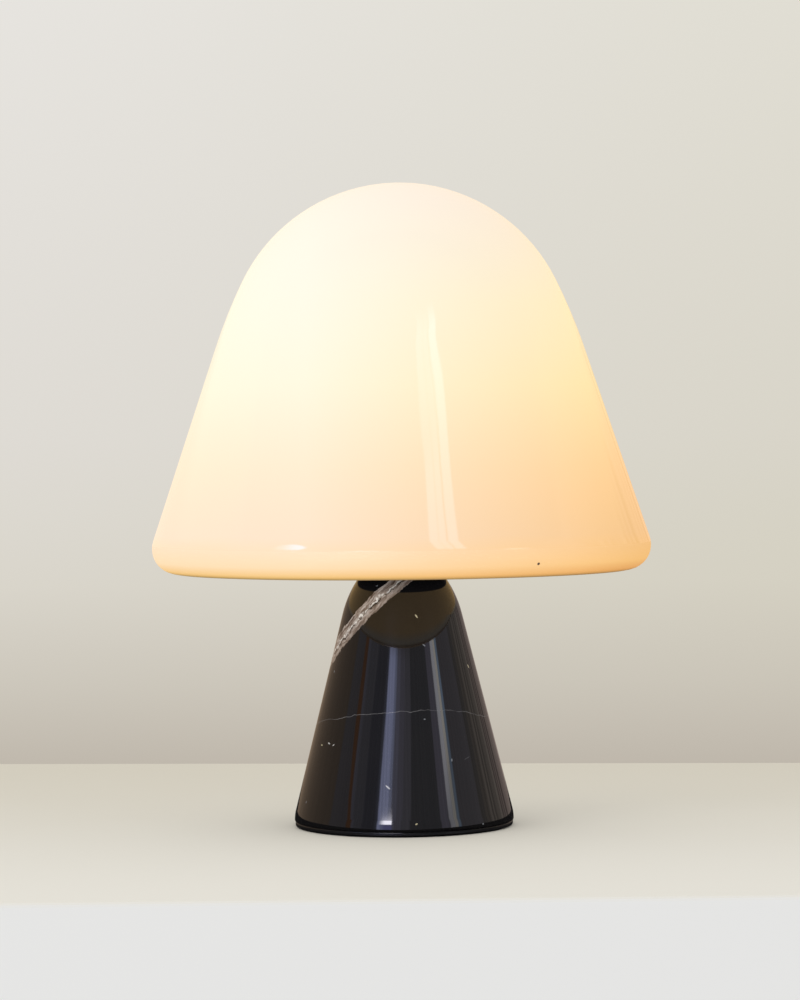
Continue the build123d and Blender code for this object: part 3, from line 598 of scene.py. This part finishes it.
# ---- Bulb: globe ----
# A satin opal plastic ball, lit from inside by the chips on the board below: brightest at the middle and
# a little dimmer at the seam and the crown.
GLOBE_LIT = (0.62, 0.52, 0.36, 1)
GLOBE_DIM = (0.40, 0.29, 0.16, 1)
GLOBE_BODY = (0.36, 0.35, 0.32, 1)
GLOBE_BODY_PALE = (0.40, 0.38, 0.34, 1)
GLOBE_SATIN = 0.00002
GLOBE_SATIN_SCALE = 1400.0
GLOBE_LIT_PART = 0.6  # of the globe's height, over which the light falls off to either side


def make_opal_plastic():
    opal, tree, shader, place = new_finish("opal_plastic", Roughness=0.45, Emission_Strength=1.0)
    grain = noise(tree, place, GLOBE_SATIN_SCALE, 2.0)
    low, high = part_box("bulb_globe")
    z = add_node(tree, "ShaderNodeSeparateXYZ", {0: place}).outputs["Z"]
    middle = (low.z + high.z) / 2
    off_middle = sums(tree, "ABSOLUTE", sums(tree, "SUBTRACT", z, middle))
    lit = step_down(tree, off_middle, 0.0, (high.z - low.z) * GLOBE_LIT_PART)
    tree.links.new(mixed(tree, lit, GLOBE_DIM, GLOBE_LIT), shader.inputs["Emission Color"])
    tree.links.new(mixed(tree, grain, GLOBE_BODY, GLOBE_BODY_PALE), shader.inputs["Base Color"])
    bumped(tree, shader, grain, GLOBE_SATIN)
    return opal


coat(make_opal_plastic(), "bulb_globe")


# ---- Opal glass shade ----
# Blown in one piece from opal glass and fire-polished, closed underneath but for the neck. The lit bulb
# shows through: white at the crown, yellow at the bulb's height, peach below, orange at the rim. Painted
# daylight makes the window's side paler, warmer glow shows away from it, and painted shade dims the far edge.
GLASS_CROWN = (0.42, 0.40, 0.37, 1)
GLASS_FOOT = (0.24, 0.18, 0.11, 1)
GLOW_DAYLIT_SIDE = (
    (0.1280, (0.10, 0.06, 0.02, 1)),
    (0.1291, (0.62, 0.37, 0.09, 1)),
    (0.1300, (0.79, 0.49, 0.18, 1)),
    (0.1340, (0.82, 0.61, 0.38, 1)),
    (0.1480, (0.78, 0.63, 0.50, 1)),
    (0.1800, (0.765, 0.645, 0.485, 1)),
    (0.2200, (0.70, 0.66, 0.50, 1)),
    (0.2600, (0.635, 0.615, 0.485, 1)),
    (0.3220, (0.62, 0.56, 0.48, 1)),
)
GLOW_AWAY_FROM_DAYLIGHT = (
    (0.1280, (0.08, 0.04, 0.01, 1)),
    (0.1291, (0.55, 0.23, 0.03, 1)),
    (0.1300, (0.69, 0.29, 0.05, 1)),
    (0.1340, (0.785, 0.41, 0.09, 1)),
    (0.1480, (0.73, 0.40, 0.125, 1)),
    (0.1800, (0.775, 0.42, 0.11, 1)),
    (0.2200, (0.72, 0.48, 0.11, 1)),
    (0.2600, (0.65, 0.465, 0.15, 1)),
    (0.3220, (0.52, 0.38, 0.31, 1)),
)
DAYLIGHT_FADES_FROM = -0.045
DAYLIGHT_FADES_TO = 0.125
PAINTED_SHADE_SIDE = (0.078, 0.125)
PAINTED_SHADE_BY = 0.08
GLOW_CLOUDS_SCALE = 14.0
GLOW_CLOUDS = 0.006
CLEAR_BELOW = (0.130, 0.150)  # heights under which the clouds in the glass fade out
UNDERSIDE_GLOW = (0.54, 0.34, 0.13, 1)
UNDERSIDE_DARK = (0.37, 0.33, 0.27, 1)
UNDERSIDE_LIT = (0.096, 0.110)  # radii between which the lit middle of the underside ends
UNDERSIDE_RIM = (0.110, 0.113)  # and those between which the rim's bend starts
UNDERSIDE_TOP = (0.1320, 0.1330)
GLASS_BODY = (0.13, 0.28)  # heights between which the glass turns from its darker, warmer foot to its paler crown, darker low down as painted shade
GLASS_ROUGHNESS = 0.035
GLASS_CLOUDS_ROUGHER = 0.02
GLASS_CLOUDS_SCALE = 40.0
MATT_BEND = (0.1416, 0.1423)  # heights between which the bend turns from matt to glossy
MATT_ROUGHER = 0.45
BLOWN_WAVES = 0.0006
BLOWN_WAVES_SCALE = 9.0
LEAN_DOWN = 0.06
LEAN_SPAN = 0.25
SOFT_BEND = tuple(
    # by height, how far the finish leans the glass up or down, which starts the bend a little higher
    (height, ((lean + LEAN_DOWN) / LEAN_SPAN,) * 3 + (1,))
    for height, lean in (
        (0.1330, 0.0),
        (0.13364, 0.030),
        (0.13523, 0.074),
        (0.13693, 0.115),
        (0.1380, 0.131),
        (0.1390, 0.164),
        (0.1399, 0.146),
        (0.1405, 0.136),
        (0.1410, 0.133),
        (0.1416, 0.102),
        (0.1423, 0.059),
        (0.1428, 0.048),
        (0.1435, 0.038),
        (0.14405, 0.024),
        (0.14409, -0.053),
        (0.1445, -0.042),
        (0.1453, -0.024),
        (0.1458, -0.018),
        (0.1463, 0.0),
    )
)
SEED_PLACE = (0.0644, -0.1055, 0.13475)
SEED_EDGE = (0.00054, 0.0009)  # distances from its middle
SEED_BROWN = (0.05, 0.03, 0.02, 1)


def glow_ramp(tree, z, stops):
    """Colour by height, from a table of heights and colours."""
    low, high = stops[0][0], stops[-1][0]
    share = add_node(tree, "ShaderNodeMapRange", {"Value": z, "From Min": low, "From Max": high}).outputs[0]
    ramp = add_node(tree, "ShaderNodeValToRGB", {0: share})
    for n, (height, colour) in enumerate(stops):
        elements = ramp.color_ramp.elements
        stop = elements[n] if n < 2 else elements.new(1.0)
        stop.position = (height - low) / (high - low)
        stop.color = colour
    return ramp.outputs[0]


def shade_glow(tree, place, apart):
    """Light that the glass lets through, by height, with painted daylight on one side and painted shade at
    the far edge, and that of its underside.
    """
    clouds = noise(tree, place, GLOW_CLOUDS_SCALE, 3.0, 0.5)
    cloudy = sums(tree, "MULTIPLY_ADD", sums(tree, "SUBTRACT", clouds, 0.5), GLOW_CLOUDS, apart["Z"])
    clear = step_down(tree, apart["Z"], *CLEAR_BELOW)
    level = add_node(tree, "ShaderNodeMix", {0: clear, 2: cloudy, 3: apart["Z"]}).outputs[0]
    # Painted daylight: the glow is paler on the side toward the window.
    away_from_daylight = add_node(tree, "ShaderNodeMapRange", {0: apart["X"], 1: DAYLIGHT_FADES_FROM, 2: DAYLIGHT_FADES_TO}).outputs[0]
    glow = mixed(tree, away_from_daylight, glow_ramp(tree, level, GLOW_DAYLIT_SIDE), glow_ramp(tree, level, GLOW_AWAY_FROM_DAYLIGHT))
    # Painted shade: the glow darkens towards the far edge, away from the daylight.
    dimmer = sums(tree, "MULTIPLY_ADD", step_up(tree, apart["X"], *PAINTED_SHADE_SIDE), -PAINTED_SHADE_BY, 1.0)
    dimmer = add_node(tree, "ShaderNodeCombineXYZ", {0: dimmer, 1: dimmer, 2: dimmer}).outputs[0]
    glow = vector_sum(tree, "MULTIPLY", glow, dimmer)

    flat = add_node(tree, "ShaderNodeCombineXYZ", {0: apart["X"], 1: apart["Y"]}).outputs[0]
    out = vector_sum(tree, "LENGTH", flat, outlet="Value")
    under = mixed(tree, step_down(tree, out, *UNDERSIDE_LIT), UNDERSIDE_DARK, UNDERSIDE_GLOW)
    inside_rim = step_down(tree, out, *UNDERSIDE_RIM)
    low_down = step_down(tree, apart["Z"], *UNDERSIDE_TOP)
    return mixed(tree, sums(tree, "MULTIPLY", inside_rim, low_down), glow, under)


def soft_bend(tree, z):
    """Which way the glass faces, with its bend begun a little higher."""
    facing = add_node(tree, "ShaderNodeNewGeometry").outputs["Normal"]
    lean = sums(tree, "MULTIPLY_ADD", glow_ramp(tree, z, SOFT_BEND), LEAN_SPAN, -LEAN_DOWN)
    lean = add_node(tree, "ShaderNodeCombineXYZ", {2: lean}).outputs[0]
    return vector_sum(tree, "NORMALIZE", vector_sum(tree, "ADD", facing, lean))


def make_opal_glass():
    opal, tree, shader, place = new_finish("opal_glass", Specular_IOR_Level=0.5, Emission_Strength=1.0)
    apart = add_node(tree, "ShaderNodeSeparateXYZ", {0: place}).outputs
    away = vector_sum(tree, "DISTANCE", place, SEED_PLACE, outlet="Value")
    seed = step_down(tree, away, *SEED_EDGE)
    glow = mixed(tree, seed, shade_glow(tree, place, apart), SEED_BROWN)
    tree.links.new(glow, shader.inputs["Emission Color"])
    # Painted shade: the body colour is darker and warmer low down.
    body = mixed(tree, step_up(tree, apart["Z"], *GLASS_BODY), GLASS_FOOT, GLASS_CROWN)
    tree.links.new(mixed(tree, seed, body, SEED_BROWN), shader.inputs["Base Color"])

    polish = noise(tree, place, GLASS_CLOUDS_SCALE, 2.0)
    polish = sums(tree, "MULTIPLY_ADD", polish, GLASS_CLOUDS_ROUGHER, GLASS_ROUGHNESS)
    matt = step_down(tree, apart["Z"], *MATT_BEND)
    tree.links.new(sums(tree, "MULTIPLY_ADD", matt, MATT_ROUGHER, polish), shader.inputs["Roughness"])
    waves = noise(tree, place, BLOWN_WAVES_SCALE, 1.0)
    bumped(tree, shader, waves, BLOWN_WAVES, soft_bend(tree, apart["Z"]))
    return opal


coat(make_opal_glass(), "opal_shade")
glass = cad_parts["opal_shade"]
glass.visible_diffuse = False
glass.visible_shadow = False


# ---- Studio: table, light and camera ----
# A pale table top with open sides under a pale grey background. The light is plain and soft, a little
# stronger from the upper left. Polished surfaces show a darker room with tall windows and curtain folds.
TABLE_NEAR = (0.84, 0.81, 0.725, 1)
TABLE_FAR = (0.71, 0.665, 0.555, 1)
TABLE_SIDE = (0.86, 0.86, 0.84, 1)
TABLE_HALF_WIDTH = 0.32
TABLE_FRONT = -0.270
TABLE_BACK_LEFT = 0.347
TABLE_BACK_RIGHT = 0.288
TABLE_HEIGHT = 0.30
TABLE_EDGE = 0.002
TABLE_CLOUDS = 0.06
TABLE_CLOUDS_SCALE = 6.0
DIM_TABLE = (0.02, 0.018, 0.018, 1)
AMBIENT = (0.88, 0.88, 0.89, 1)
BACKDROP = (
    (-5.6, (0.520, 0.475, 0.410, 1)),
    (-4.2, (0.600, 0.560, 0.490, 1)),
    (-2.5, (0.680, 0.640, 0.570, 1)),
    (0.0, (0.715, 0.675, 0.625, 1)),
    (7.4, (0.775, 0.740, 0.700, 1)),
)
BACKDROP_LEFT = (1.030, 1.050, 1.060, 1)
BACKDROP_RIGHT = (0.965, 0.980, 0.930, 1)
BACKDROP_TURN = (-0.16, 0.16)
BACKDROP_FOOT = (-6.0, -1.0)
ROOM = (0.36, 0.26, 0.18, 1)
ROOM_BANDS = (
    # from which bearing on, in degrees to the right of the camera as the lamp sees it, and how bright
    (-91, (0.31, 0.28, 0.30, 1)),
    (-69, (0.46, 0.19, 0.06, 1)),
    (-62.5, (0.44, 0.43, 0.54, 1)),
    (-58, (0.34, 0.33, 0.39, 1)),
    (-46, (0.20, 0.20, 0.26, 1)),
    (-32, (0.34, 0.36, 0.50, 1)),
    (-29, (2.30, 2.50, 3.90, 1)),
    (-19.5, (1.55, 1.70, 2.60, 1)),
    (-16.5, (0.85, 0.84, 1.15, 1)),
    (-11, (0.64, 0.61, 0.79, 1)),
    (-4, (0.52, 0.50, 0.60, 1)),
    (5.5, (0.25, 0.25, 0.28, 1)),
    (39.5, (0.64, 0.60, 0.78, 1)),
    (49.5, (3.10, 3.10, 3.40, 1)),
    (55.0, (3.60, 3.40, 3.10, 1)),
    (58.5, (1.20, 1.60, 2.20, 1)),
    (62.0, (0.43, 0.40, 0.44, 1)),
    (91, (0.31, 0.28, 0.26, 1)),
    (98, (0.42, 0.36, 0.31, 1)),
    (128, (0.34, 0.27, 0.24, 1)),
)
BAND_EDGE = 1.0
CURTAIN_FROM = (94.0, 100.0)
DEEP_FOLDS = (3.0, -0.5)  # how much the folds add, and what is left without them
DEEP_FOLDS_SCALE = 0.21
FAINT_FOLDS = (1.2, 0.4)
FAINT_FOLDS_SCALE = 0.5
MIDDLE_BANDS = ((-64.0, -40.0), (8.0, 30.0))
MIDDLE_LEANS_ABOVE = 20.8
MIDDLE_LEAN = 2.3
LEFT_BANDS = (-62.0, -46.0)
LEFT_TURNS_BELOW = (17.0, 18.2)
LEFT_TURN = 5.0
RIGHT_BAR = ((47.0, 49.0), (62.0, 64.0))
RIGHT_BAR_DIM_BELOW = (18.6, 19.8)
RIGHT_BAR_DIM = 0.38
DIM_ROOM = (0.20, 0.19, 0.18, 1)
PALE_WALL = (0.50, 0.40, 0.28, 1)
FLANK_SPAN = 27.2  # how far up the stone's flank looks, straight ahead
FLANK_TURN = radians(1) / 2.2  # and how that falls off with the bearing
LOW_ROOM_TOP = (-3.1, -2.5)
AHEAD = (66.0, 76.0)
WALL_ABOVE = (-1.5, 0.5)
WALL_BESIDE = (76.0, 100.0)
WALL_BESIDE_HIGH = (75.0, 125.0)
FLOOR_LAMP_ACROSS = ((-28.5, -20.0), (-14.5, -12.5))
FLOOR_LAMP_STEM = ((-4.0, -1.0), (8.0, 10.0))
FLOOR_LAMP_BLUE = (1.1, 1.1, 2.4, 1)
FLOOR_LAMP_HEAD = ((9.0, 11.5), (20.6, 21.15))
FLOOR_LAMP_BEARING = -20.0
FLOOR_LAMP_SLOPE = 0.05
FLOOR_LAMP_WHITE = (20.0, 19.5, 22.0, 1)
WINDOW = (1.6, 2.3, 3.1, 1)
WINDOW_SILL = (25.2, 26.2)
WINDOW_LEANS_BELOW = 35.0
WINDOW_LEAN = 0.3
WINDOW_STEPS = (
    # between which rises, and by how many degrees, the window's image steps aside
    ((36.4, 37.8), 2.4),
    ((39.0, 43.0), -1.6),
)
PANE = ((22.9, 23.7), (27.9, 28.7))
PANE_TOP = (41.0, 48.0)
VEIL = ((13.6, 14.4), (22.2, 22.7))
VEIL_TOP = (40.0, 47.0)
VEIL_THINS = (35.8, 37.2)
VEIL_THIN = 0.45  # its share of the window's light above, and half of its share below
VEIL_LINE = 18.8
VEIL_LINE_HALF = (0.2, 0.6)
VEIL_LINE_DIM = 0.4
OVAL_LAMP = (2.6, 4.2, 8.5, 1)
OVAL_LAMP_DIM = (1.0, 1.3, 1.8, 1)
OVAL_DIM_TO_LIT = (-61.0, -50.0)
OVAL_BEARING = -54.5
OVAL_RISE = 24.8
OVAL_HALF = (8.8, 4.0)
OVAL_SLOPE = 0.12
OVAL_EDGE = (0.5, 1.05)
OVAL_ABOVE = (-2.7, -2.1)
CAMERA_PLACE = (-0.0005, -1.684, 0.196)
CAMERA_PITCH = radians(1.108)
CAMERA_ROLL = radians(-0.60)
FOCAL_PIXELS = 3355.0
PHOTO_LONG_SIDE = 1000.0
SENSOR = 36.0


def make_table():
    """The table as a box whose back edge slants a little, as in the photo."""
    left, right = -TABLE_HALF_WIDTH, TABLE_HALF_WIDTH
    outline = ((left, TABLE_FRONT), (right, TABLE_FRONT), (left, TABLE_BACK_LEFT), (right, TABLE_BACK_RIGHT))
    corners = [(x, y, z) for z in (-TABLE_HEIGHT, 0) for x, y in outline]
    sides = [(0, 1, 5, 4), (1, 3, 7, 5), (3, 2, 6, 7), (2, 0, 4, 6), (4, 5, 7, 6)]
    lacquer, tree, shader, place = new_finish("table_lacquer", Roughness=0.7, Specular_IOR_Level=0.0)
    facing = add_node(tree, "ShaderNodeNewGeometry").outputs["Normal"]
    upward = add_node(tree, "ShaderNodeSeparateXYZ", {0: facing}).outputs["Z"]
    depth = add_node(tree, "ShaderNodeSeparateXYZ", {0: place}).outputs["Y"]
    cloud = noise(tree, place, TABLE_CLOUDS_SCALE, 3.0)
    cloud = sums(tree, "MULTIPLY_ADD", cloud, TABLE_CLOUDS, depth)
    top = mixed(tree, step_up(tree, cloud, TABLE_FRONT, TABLE_BACK_LEFT), TABLE_NEAR, TABLE_FAR)
    colour = mixed(tree, upward, TABLE_SIDE, top)
    # Painted reflection: what polished surfaces show of the table is painted dark.
    reflected = add_node(tree, "ShaderNodeLightPath").outputs["Is Glossy Ray"]
    tree.links.new(mixed(tree, reflected, colour, DIM_TABLE), shader.inputs["Base Color"])
    table = mesh_piece("table", corners, sides, lacquer, smooth=False)
    bevel = table.modifiers.new("soft_edge", "BEVEL")
    bevel.width = TABLE_EDGE
    bevel.segments = 3


def between(tree, value, opens, closes):
    """1 between two soft edges and 0 outside them."""
    return sums(tree, "MULTIPLY", step_up(tree, value, *opens), step_down(tree, value, *closes))


def banded_room(tree, bearing, rise):
    """The lower room by bearing: deep curtain folds on the right, and bands that lean as the photo's do."""
    along = add_node(tree, "ShaderNodeCombineXYZ", {0: bearing}).outputs[0]
    deep = sums(tree, "MULTIPLY_ADD", noise(tree, along, DEEP_FOLDS_SCALE, 1.0, 0.5), *DEEP_FOLDS)
    faint = sums(tree, "MULTIPLY_ADD", noise(tree, along, FAINT_FOLDS_SCALE, 3.0, 0.75), *FAINT_FOLDS)
    curtain = step_up(tree, bearing, *CURTAIN_FROM)
    folds = add_node(tree, "ShaderNodeMix", {0: curtain, 2: faint, 3: deep}).outputs[0]

    above = sums(tree, "MAXIMUM", sums(tree, "SUBTRACT", rise, MIDDLE_LEANS_ABOVE), 0.0)
    leaning = sums(tree, "MULTIPLY", above, between(tree, bearing, *MIDDLE_BANDS))
    turned = step_down(tree, rise, *LEFT_TURNS_BELOW)
    turned = sums(tree, "MULTIPLY", turned, step_down(tree, bearing, *LEFT_BANDS))
    place = sums(tree, "MULTIPLY_ADD", turned, -LEFT_TURN, bearing)
    place = sums(tree, "MULTIPLY_ADD", leaning, -MIDDLE_LEAN, place)
    room = ROOM
    for start, colour in ROOM_BANDS:
        room = mixed(tree, step_up(tree, place, start - BAND_EDGE, start + BAND_EDGE), room, colour)

    dimmer = between(tree, bearing, *RIGHT_BAR)
    dimmer = sums(tree, "MULTIPLY", dimmer, step_down(tree, rise, *RIGHT_BAR_DIM_BELOW))
    room = mixed(tree, sums(tree, "MULTIPLY", dimmer, RIGHT_BAR_DIM), room, DIM_ROOM)
    return add_node(tree, "ShaderNodeVectorMath", {0: room, "Scale": folds}, operation="SCALE").outputs[0]


def with_floor_lamp(tree, room, bearing, rise):
    """The lower room with a lamp on the floor, whose bright head shows at the stone's foot."""
    across = between(tree, bearing, *FLOOR_LAMP_ACROSS)
    stem = sums(tree, "MULTIPLY", across, between(tree, rise, *FLOOR_LAMP_STEM))
    room = mixed(tree, stem, room, FLOOR_LAMP_BLUE)
    along = sums(tree, "ADD", bearing, -FLOOR_LAMP_BEARING)
    tilted = sums(tree, "MULTIPLY_ADD", along, -FLOOR_LAMP_SLOPE, rise)
    starts, ends = FLOOR_LAMP_HEAD
    head = sums(tree, "MULTIPLY", step_up(tree, rise, *starts), step_down(tree, tilted, *ends))
    return mixed(tree, sums(tree, "MULTIPLY", across, head), room, FLOOR_LAMP_WHITE)


def with_window(tree, room, bearing, rise):
    """The upper room with a tall window: a bright pane, and beside it a veil with a thin dark line."""
    below = sums(tree, "MAXIMUM", sums(tree, "SUBTRACT", WINDOW_LEANS_BELOW, rise), 0.0)
    bar = sums(tree, "SUBTRACT", bearing, sums(tree, "MULTIPLY", below, WINDOW_LEAN))
    for rises, aside in WINDOW_STEPS:
        bar = sums(tree, "MULTIPLY_ADD", step_up(tree, rise, *rises), aside, bar)
    pane = sums(tree, "MULTIPLY", between(tree, bar, *PANE), step_down(tree, rise, *PANE_TOP))

    thin_line = sums(tree, "ABSOLUTE", sums(tree, "SUBTRACT", bar, VEIL_LINE))
    gap = sums(tree, "MULTIPLY_ADD", step_down(tree, thin_line, *VEIL_LINE_HALF), -VEIL_LINE_DIM, 1.0)
    thickness = sums(tree, "MULTIPLY_ADD", step_down(tree, rise, *VEIL_THINS), VEIL_THIN, VEIL_THIN)
    thickness = sums(tree, "MULTIPLY", thickness, gap)
    thickness = sums(tree, "MULTIPLY", thickness, step_down(tree, rise, *VEIL_TOP))
    veil = sums(tree, "MULTIPLY", between(tree, bar, *VEIL), thickness)
    return mixed(tree, sums(tree, "ADD", veil, pane), room, WINDOW)


def with_oval_lamp(tree, room, bearing, rise, height):
    """The room with a small oval lamp on the left, just above the window sill."""
    along = sums(tree, "ADD", bearing, -OVAL_BEARING)
    across = sums(tree, "DIVIDE", along, OVAL_HALF[0])
    up = sums(tree, "SUBTRACT", sums(tree, "MULTIPLY_ADD", along, -OVAL_SLOPE, rise), OVAL_RISE)
    up = sums(tree, "DIVIDE", up, OVAL_HALF[1])
    off = sums(tree, "ADD", sums(tree, "MULTIPLY", across, across), sums(tree, "MULTIPLY", up, up))
    inside = sums(tree, "MULTIPLY", step_down(tree, off, *OVAL_EDGE), step_up(tree, height, *OVAL_ABOVE))
    oval = mixed(tree, step_up(tree, bearing, *OVAL_DIM_TO_LIT), OVAL_LAMP_DIM, OVAL_LAMP)
    return mixed(tree, inside, room, oval)


def light_room(tree, bearing, rise):
    """What polished surfaces show of the room, by bearing and rise in degrees."""
    aside = sums(tree, "ABSOLUTE", bearing)
    flank = sums(tree, "COSINE", sums(tree, "MULTIPLY", bearing, FLANK_TURN))
    height = sums(tree, "MULTIPLY_ADD", flank, -FLANK_SPAN, rise)
    lower = with_floor_lamp(tree, banded_room(tree, bearing, rise), bearing, rise)
    ahead = sums(tree, "MULTIPLY", step_up(tree, height, *LOW_ROOM_TOP), step_down(tree, aside, *AHEAD))
    lower = mixed(tree, ahead, lower, DIM_ROOM)
    beside = sums(tree, "MULTIPLY", step_up(tree, height, *WALL_ABOVE), step_up(tree, aside, *WALL_BESIDE))
    lower = mixed(tree, beside, lower, PALE_WALL)

    upper = mixed(tree, step_up(tree, aside, *WALL_BESIDE_HIGH), DIM_ROOM, PALE_WALL)
    upper = with_window(tree, upper, bearing, rise)
    room = mixed(tree, step_up(tree, rise, *WINDOW_SILL), lower, upper)
    return with_oval_lamp(tree, room, bearing, rise, height)


def make_world():
    """Even light for all but what the camera sees, the backdrop, and what gloss shows, the room."""
    world = bpy.data.worlds.new("studio")
    world.use_nodes = True
    bpy.context.scene.world = world
    tree = world.node_tree
    rays = add_node(tree, "ShaderNodeLightPath").outputs
    towards = add_node(tree, "ShaderNodeTexCoord").outputs["Generated"]
    x, y, z = add_node(tree, "ShaderNodeSeparateXYZ", {0: towards}).outputs
    bearing = sums(tree, "MULTIPLY", sums(tree, "ARCTAN2", x, sums(tree, "MULTIPLY", y, -1.0)), degrees(1))
    rise = sums(tree, "MULTIPLY", sums(tree, "ARCSINE", z), degrees(1))
    lit = mixed(tree, rays["Is Glossy Ray"], AMBIENT, light_room(tree, bearing, rise))
    tint = mixed(tree, step_up(tree, x, *BACKDROP_TURN), BACKDROP_LEFT, BACKDROP_RIGHT)
    tinted = step_up(tree, rise, *BACKDROP_FOOT)
    backdrop = mixed(tree, tinted, glow_ramp(tree, rise, BACKDROP), tint, "MULTIPLY")
    shown = mixed(tree, rays["Is Camera Ray"], lit, backdrop)
    tree.links.new(shown, tree.nodes["Background"].inputs["Color"])


def add_light(name, place, aim, size, strength):
    """A square soft light that faces the point it is aimed at, and that no polished surface shows."""
    data = bpy.data.lights.new(name, "AREA")
    data.size = size
    data.energy = strength * pi * size * size
    light = bpy.data.objects.new(name, data)
    bpy.context.scene.collection.objects.link(light)
    light.location = place
    light.rotation_mode = "QUATERNION"
    light.rotation_quaternion = (Vector(aim) - Vector(place)).to_track_quat("-Z", "Y")
    light.visible_glossy = False
    light.visible_camera = False


def add_camera():
    """The photo's camera: its place, pitch and slight roll were fitted to the lamp's outline."""
    data = bpy.data.cameras.new("camera")
    data.sensor_width = SENSOR
    data.lens = FOCAL_PIXELS * SENSOR / PHOTO_LONG_SIDE
    camera = bpy.data.objects.new("camera", data)
    bpy.context.scene.collection.objects.link(camera)
    turn = Matrix.Rotation(pi / 2 - CAMERA_PITCH, 4, "X") @ Matrix.Rotation(CAMERA_ROLL, 4, "Z")
    camera.matrix_world = Matrix.Translation(CAMERA_PLACE) @ turn
    bpy.context.scene.camera = camera


make_table()
make_world()
add_light("soft_light", place=(-1.6, -1.3, 1.7), aim=(0, 0, 0.2), size=1.4, strength=0.9)
add_camera()
bpy.context.scene.view_settings.view_transform = "Standard"
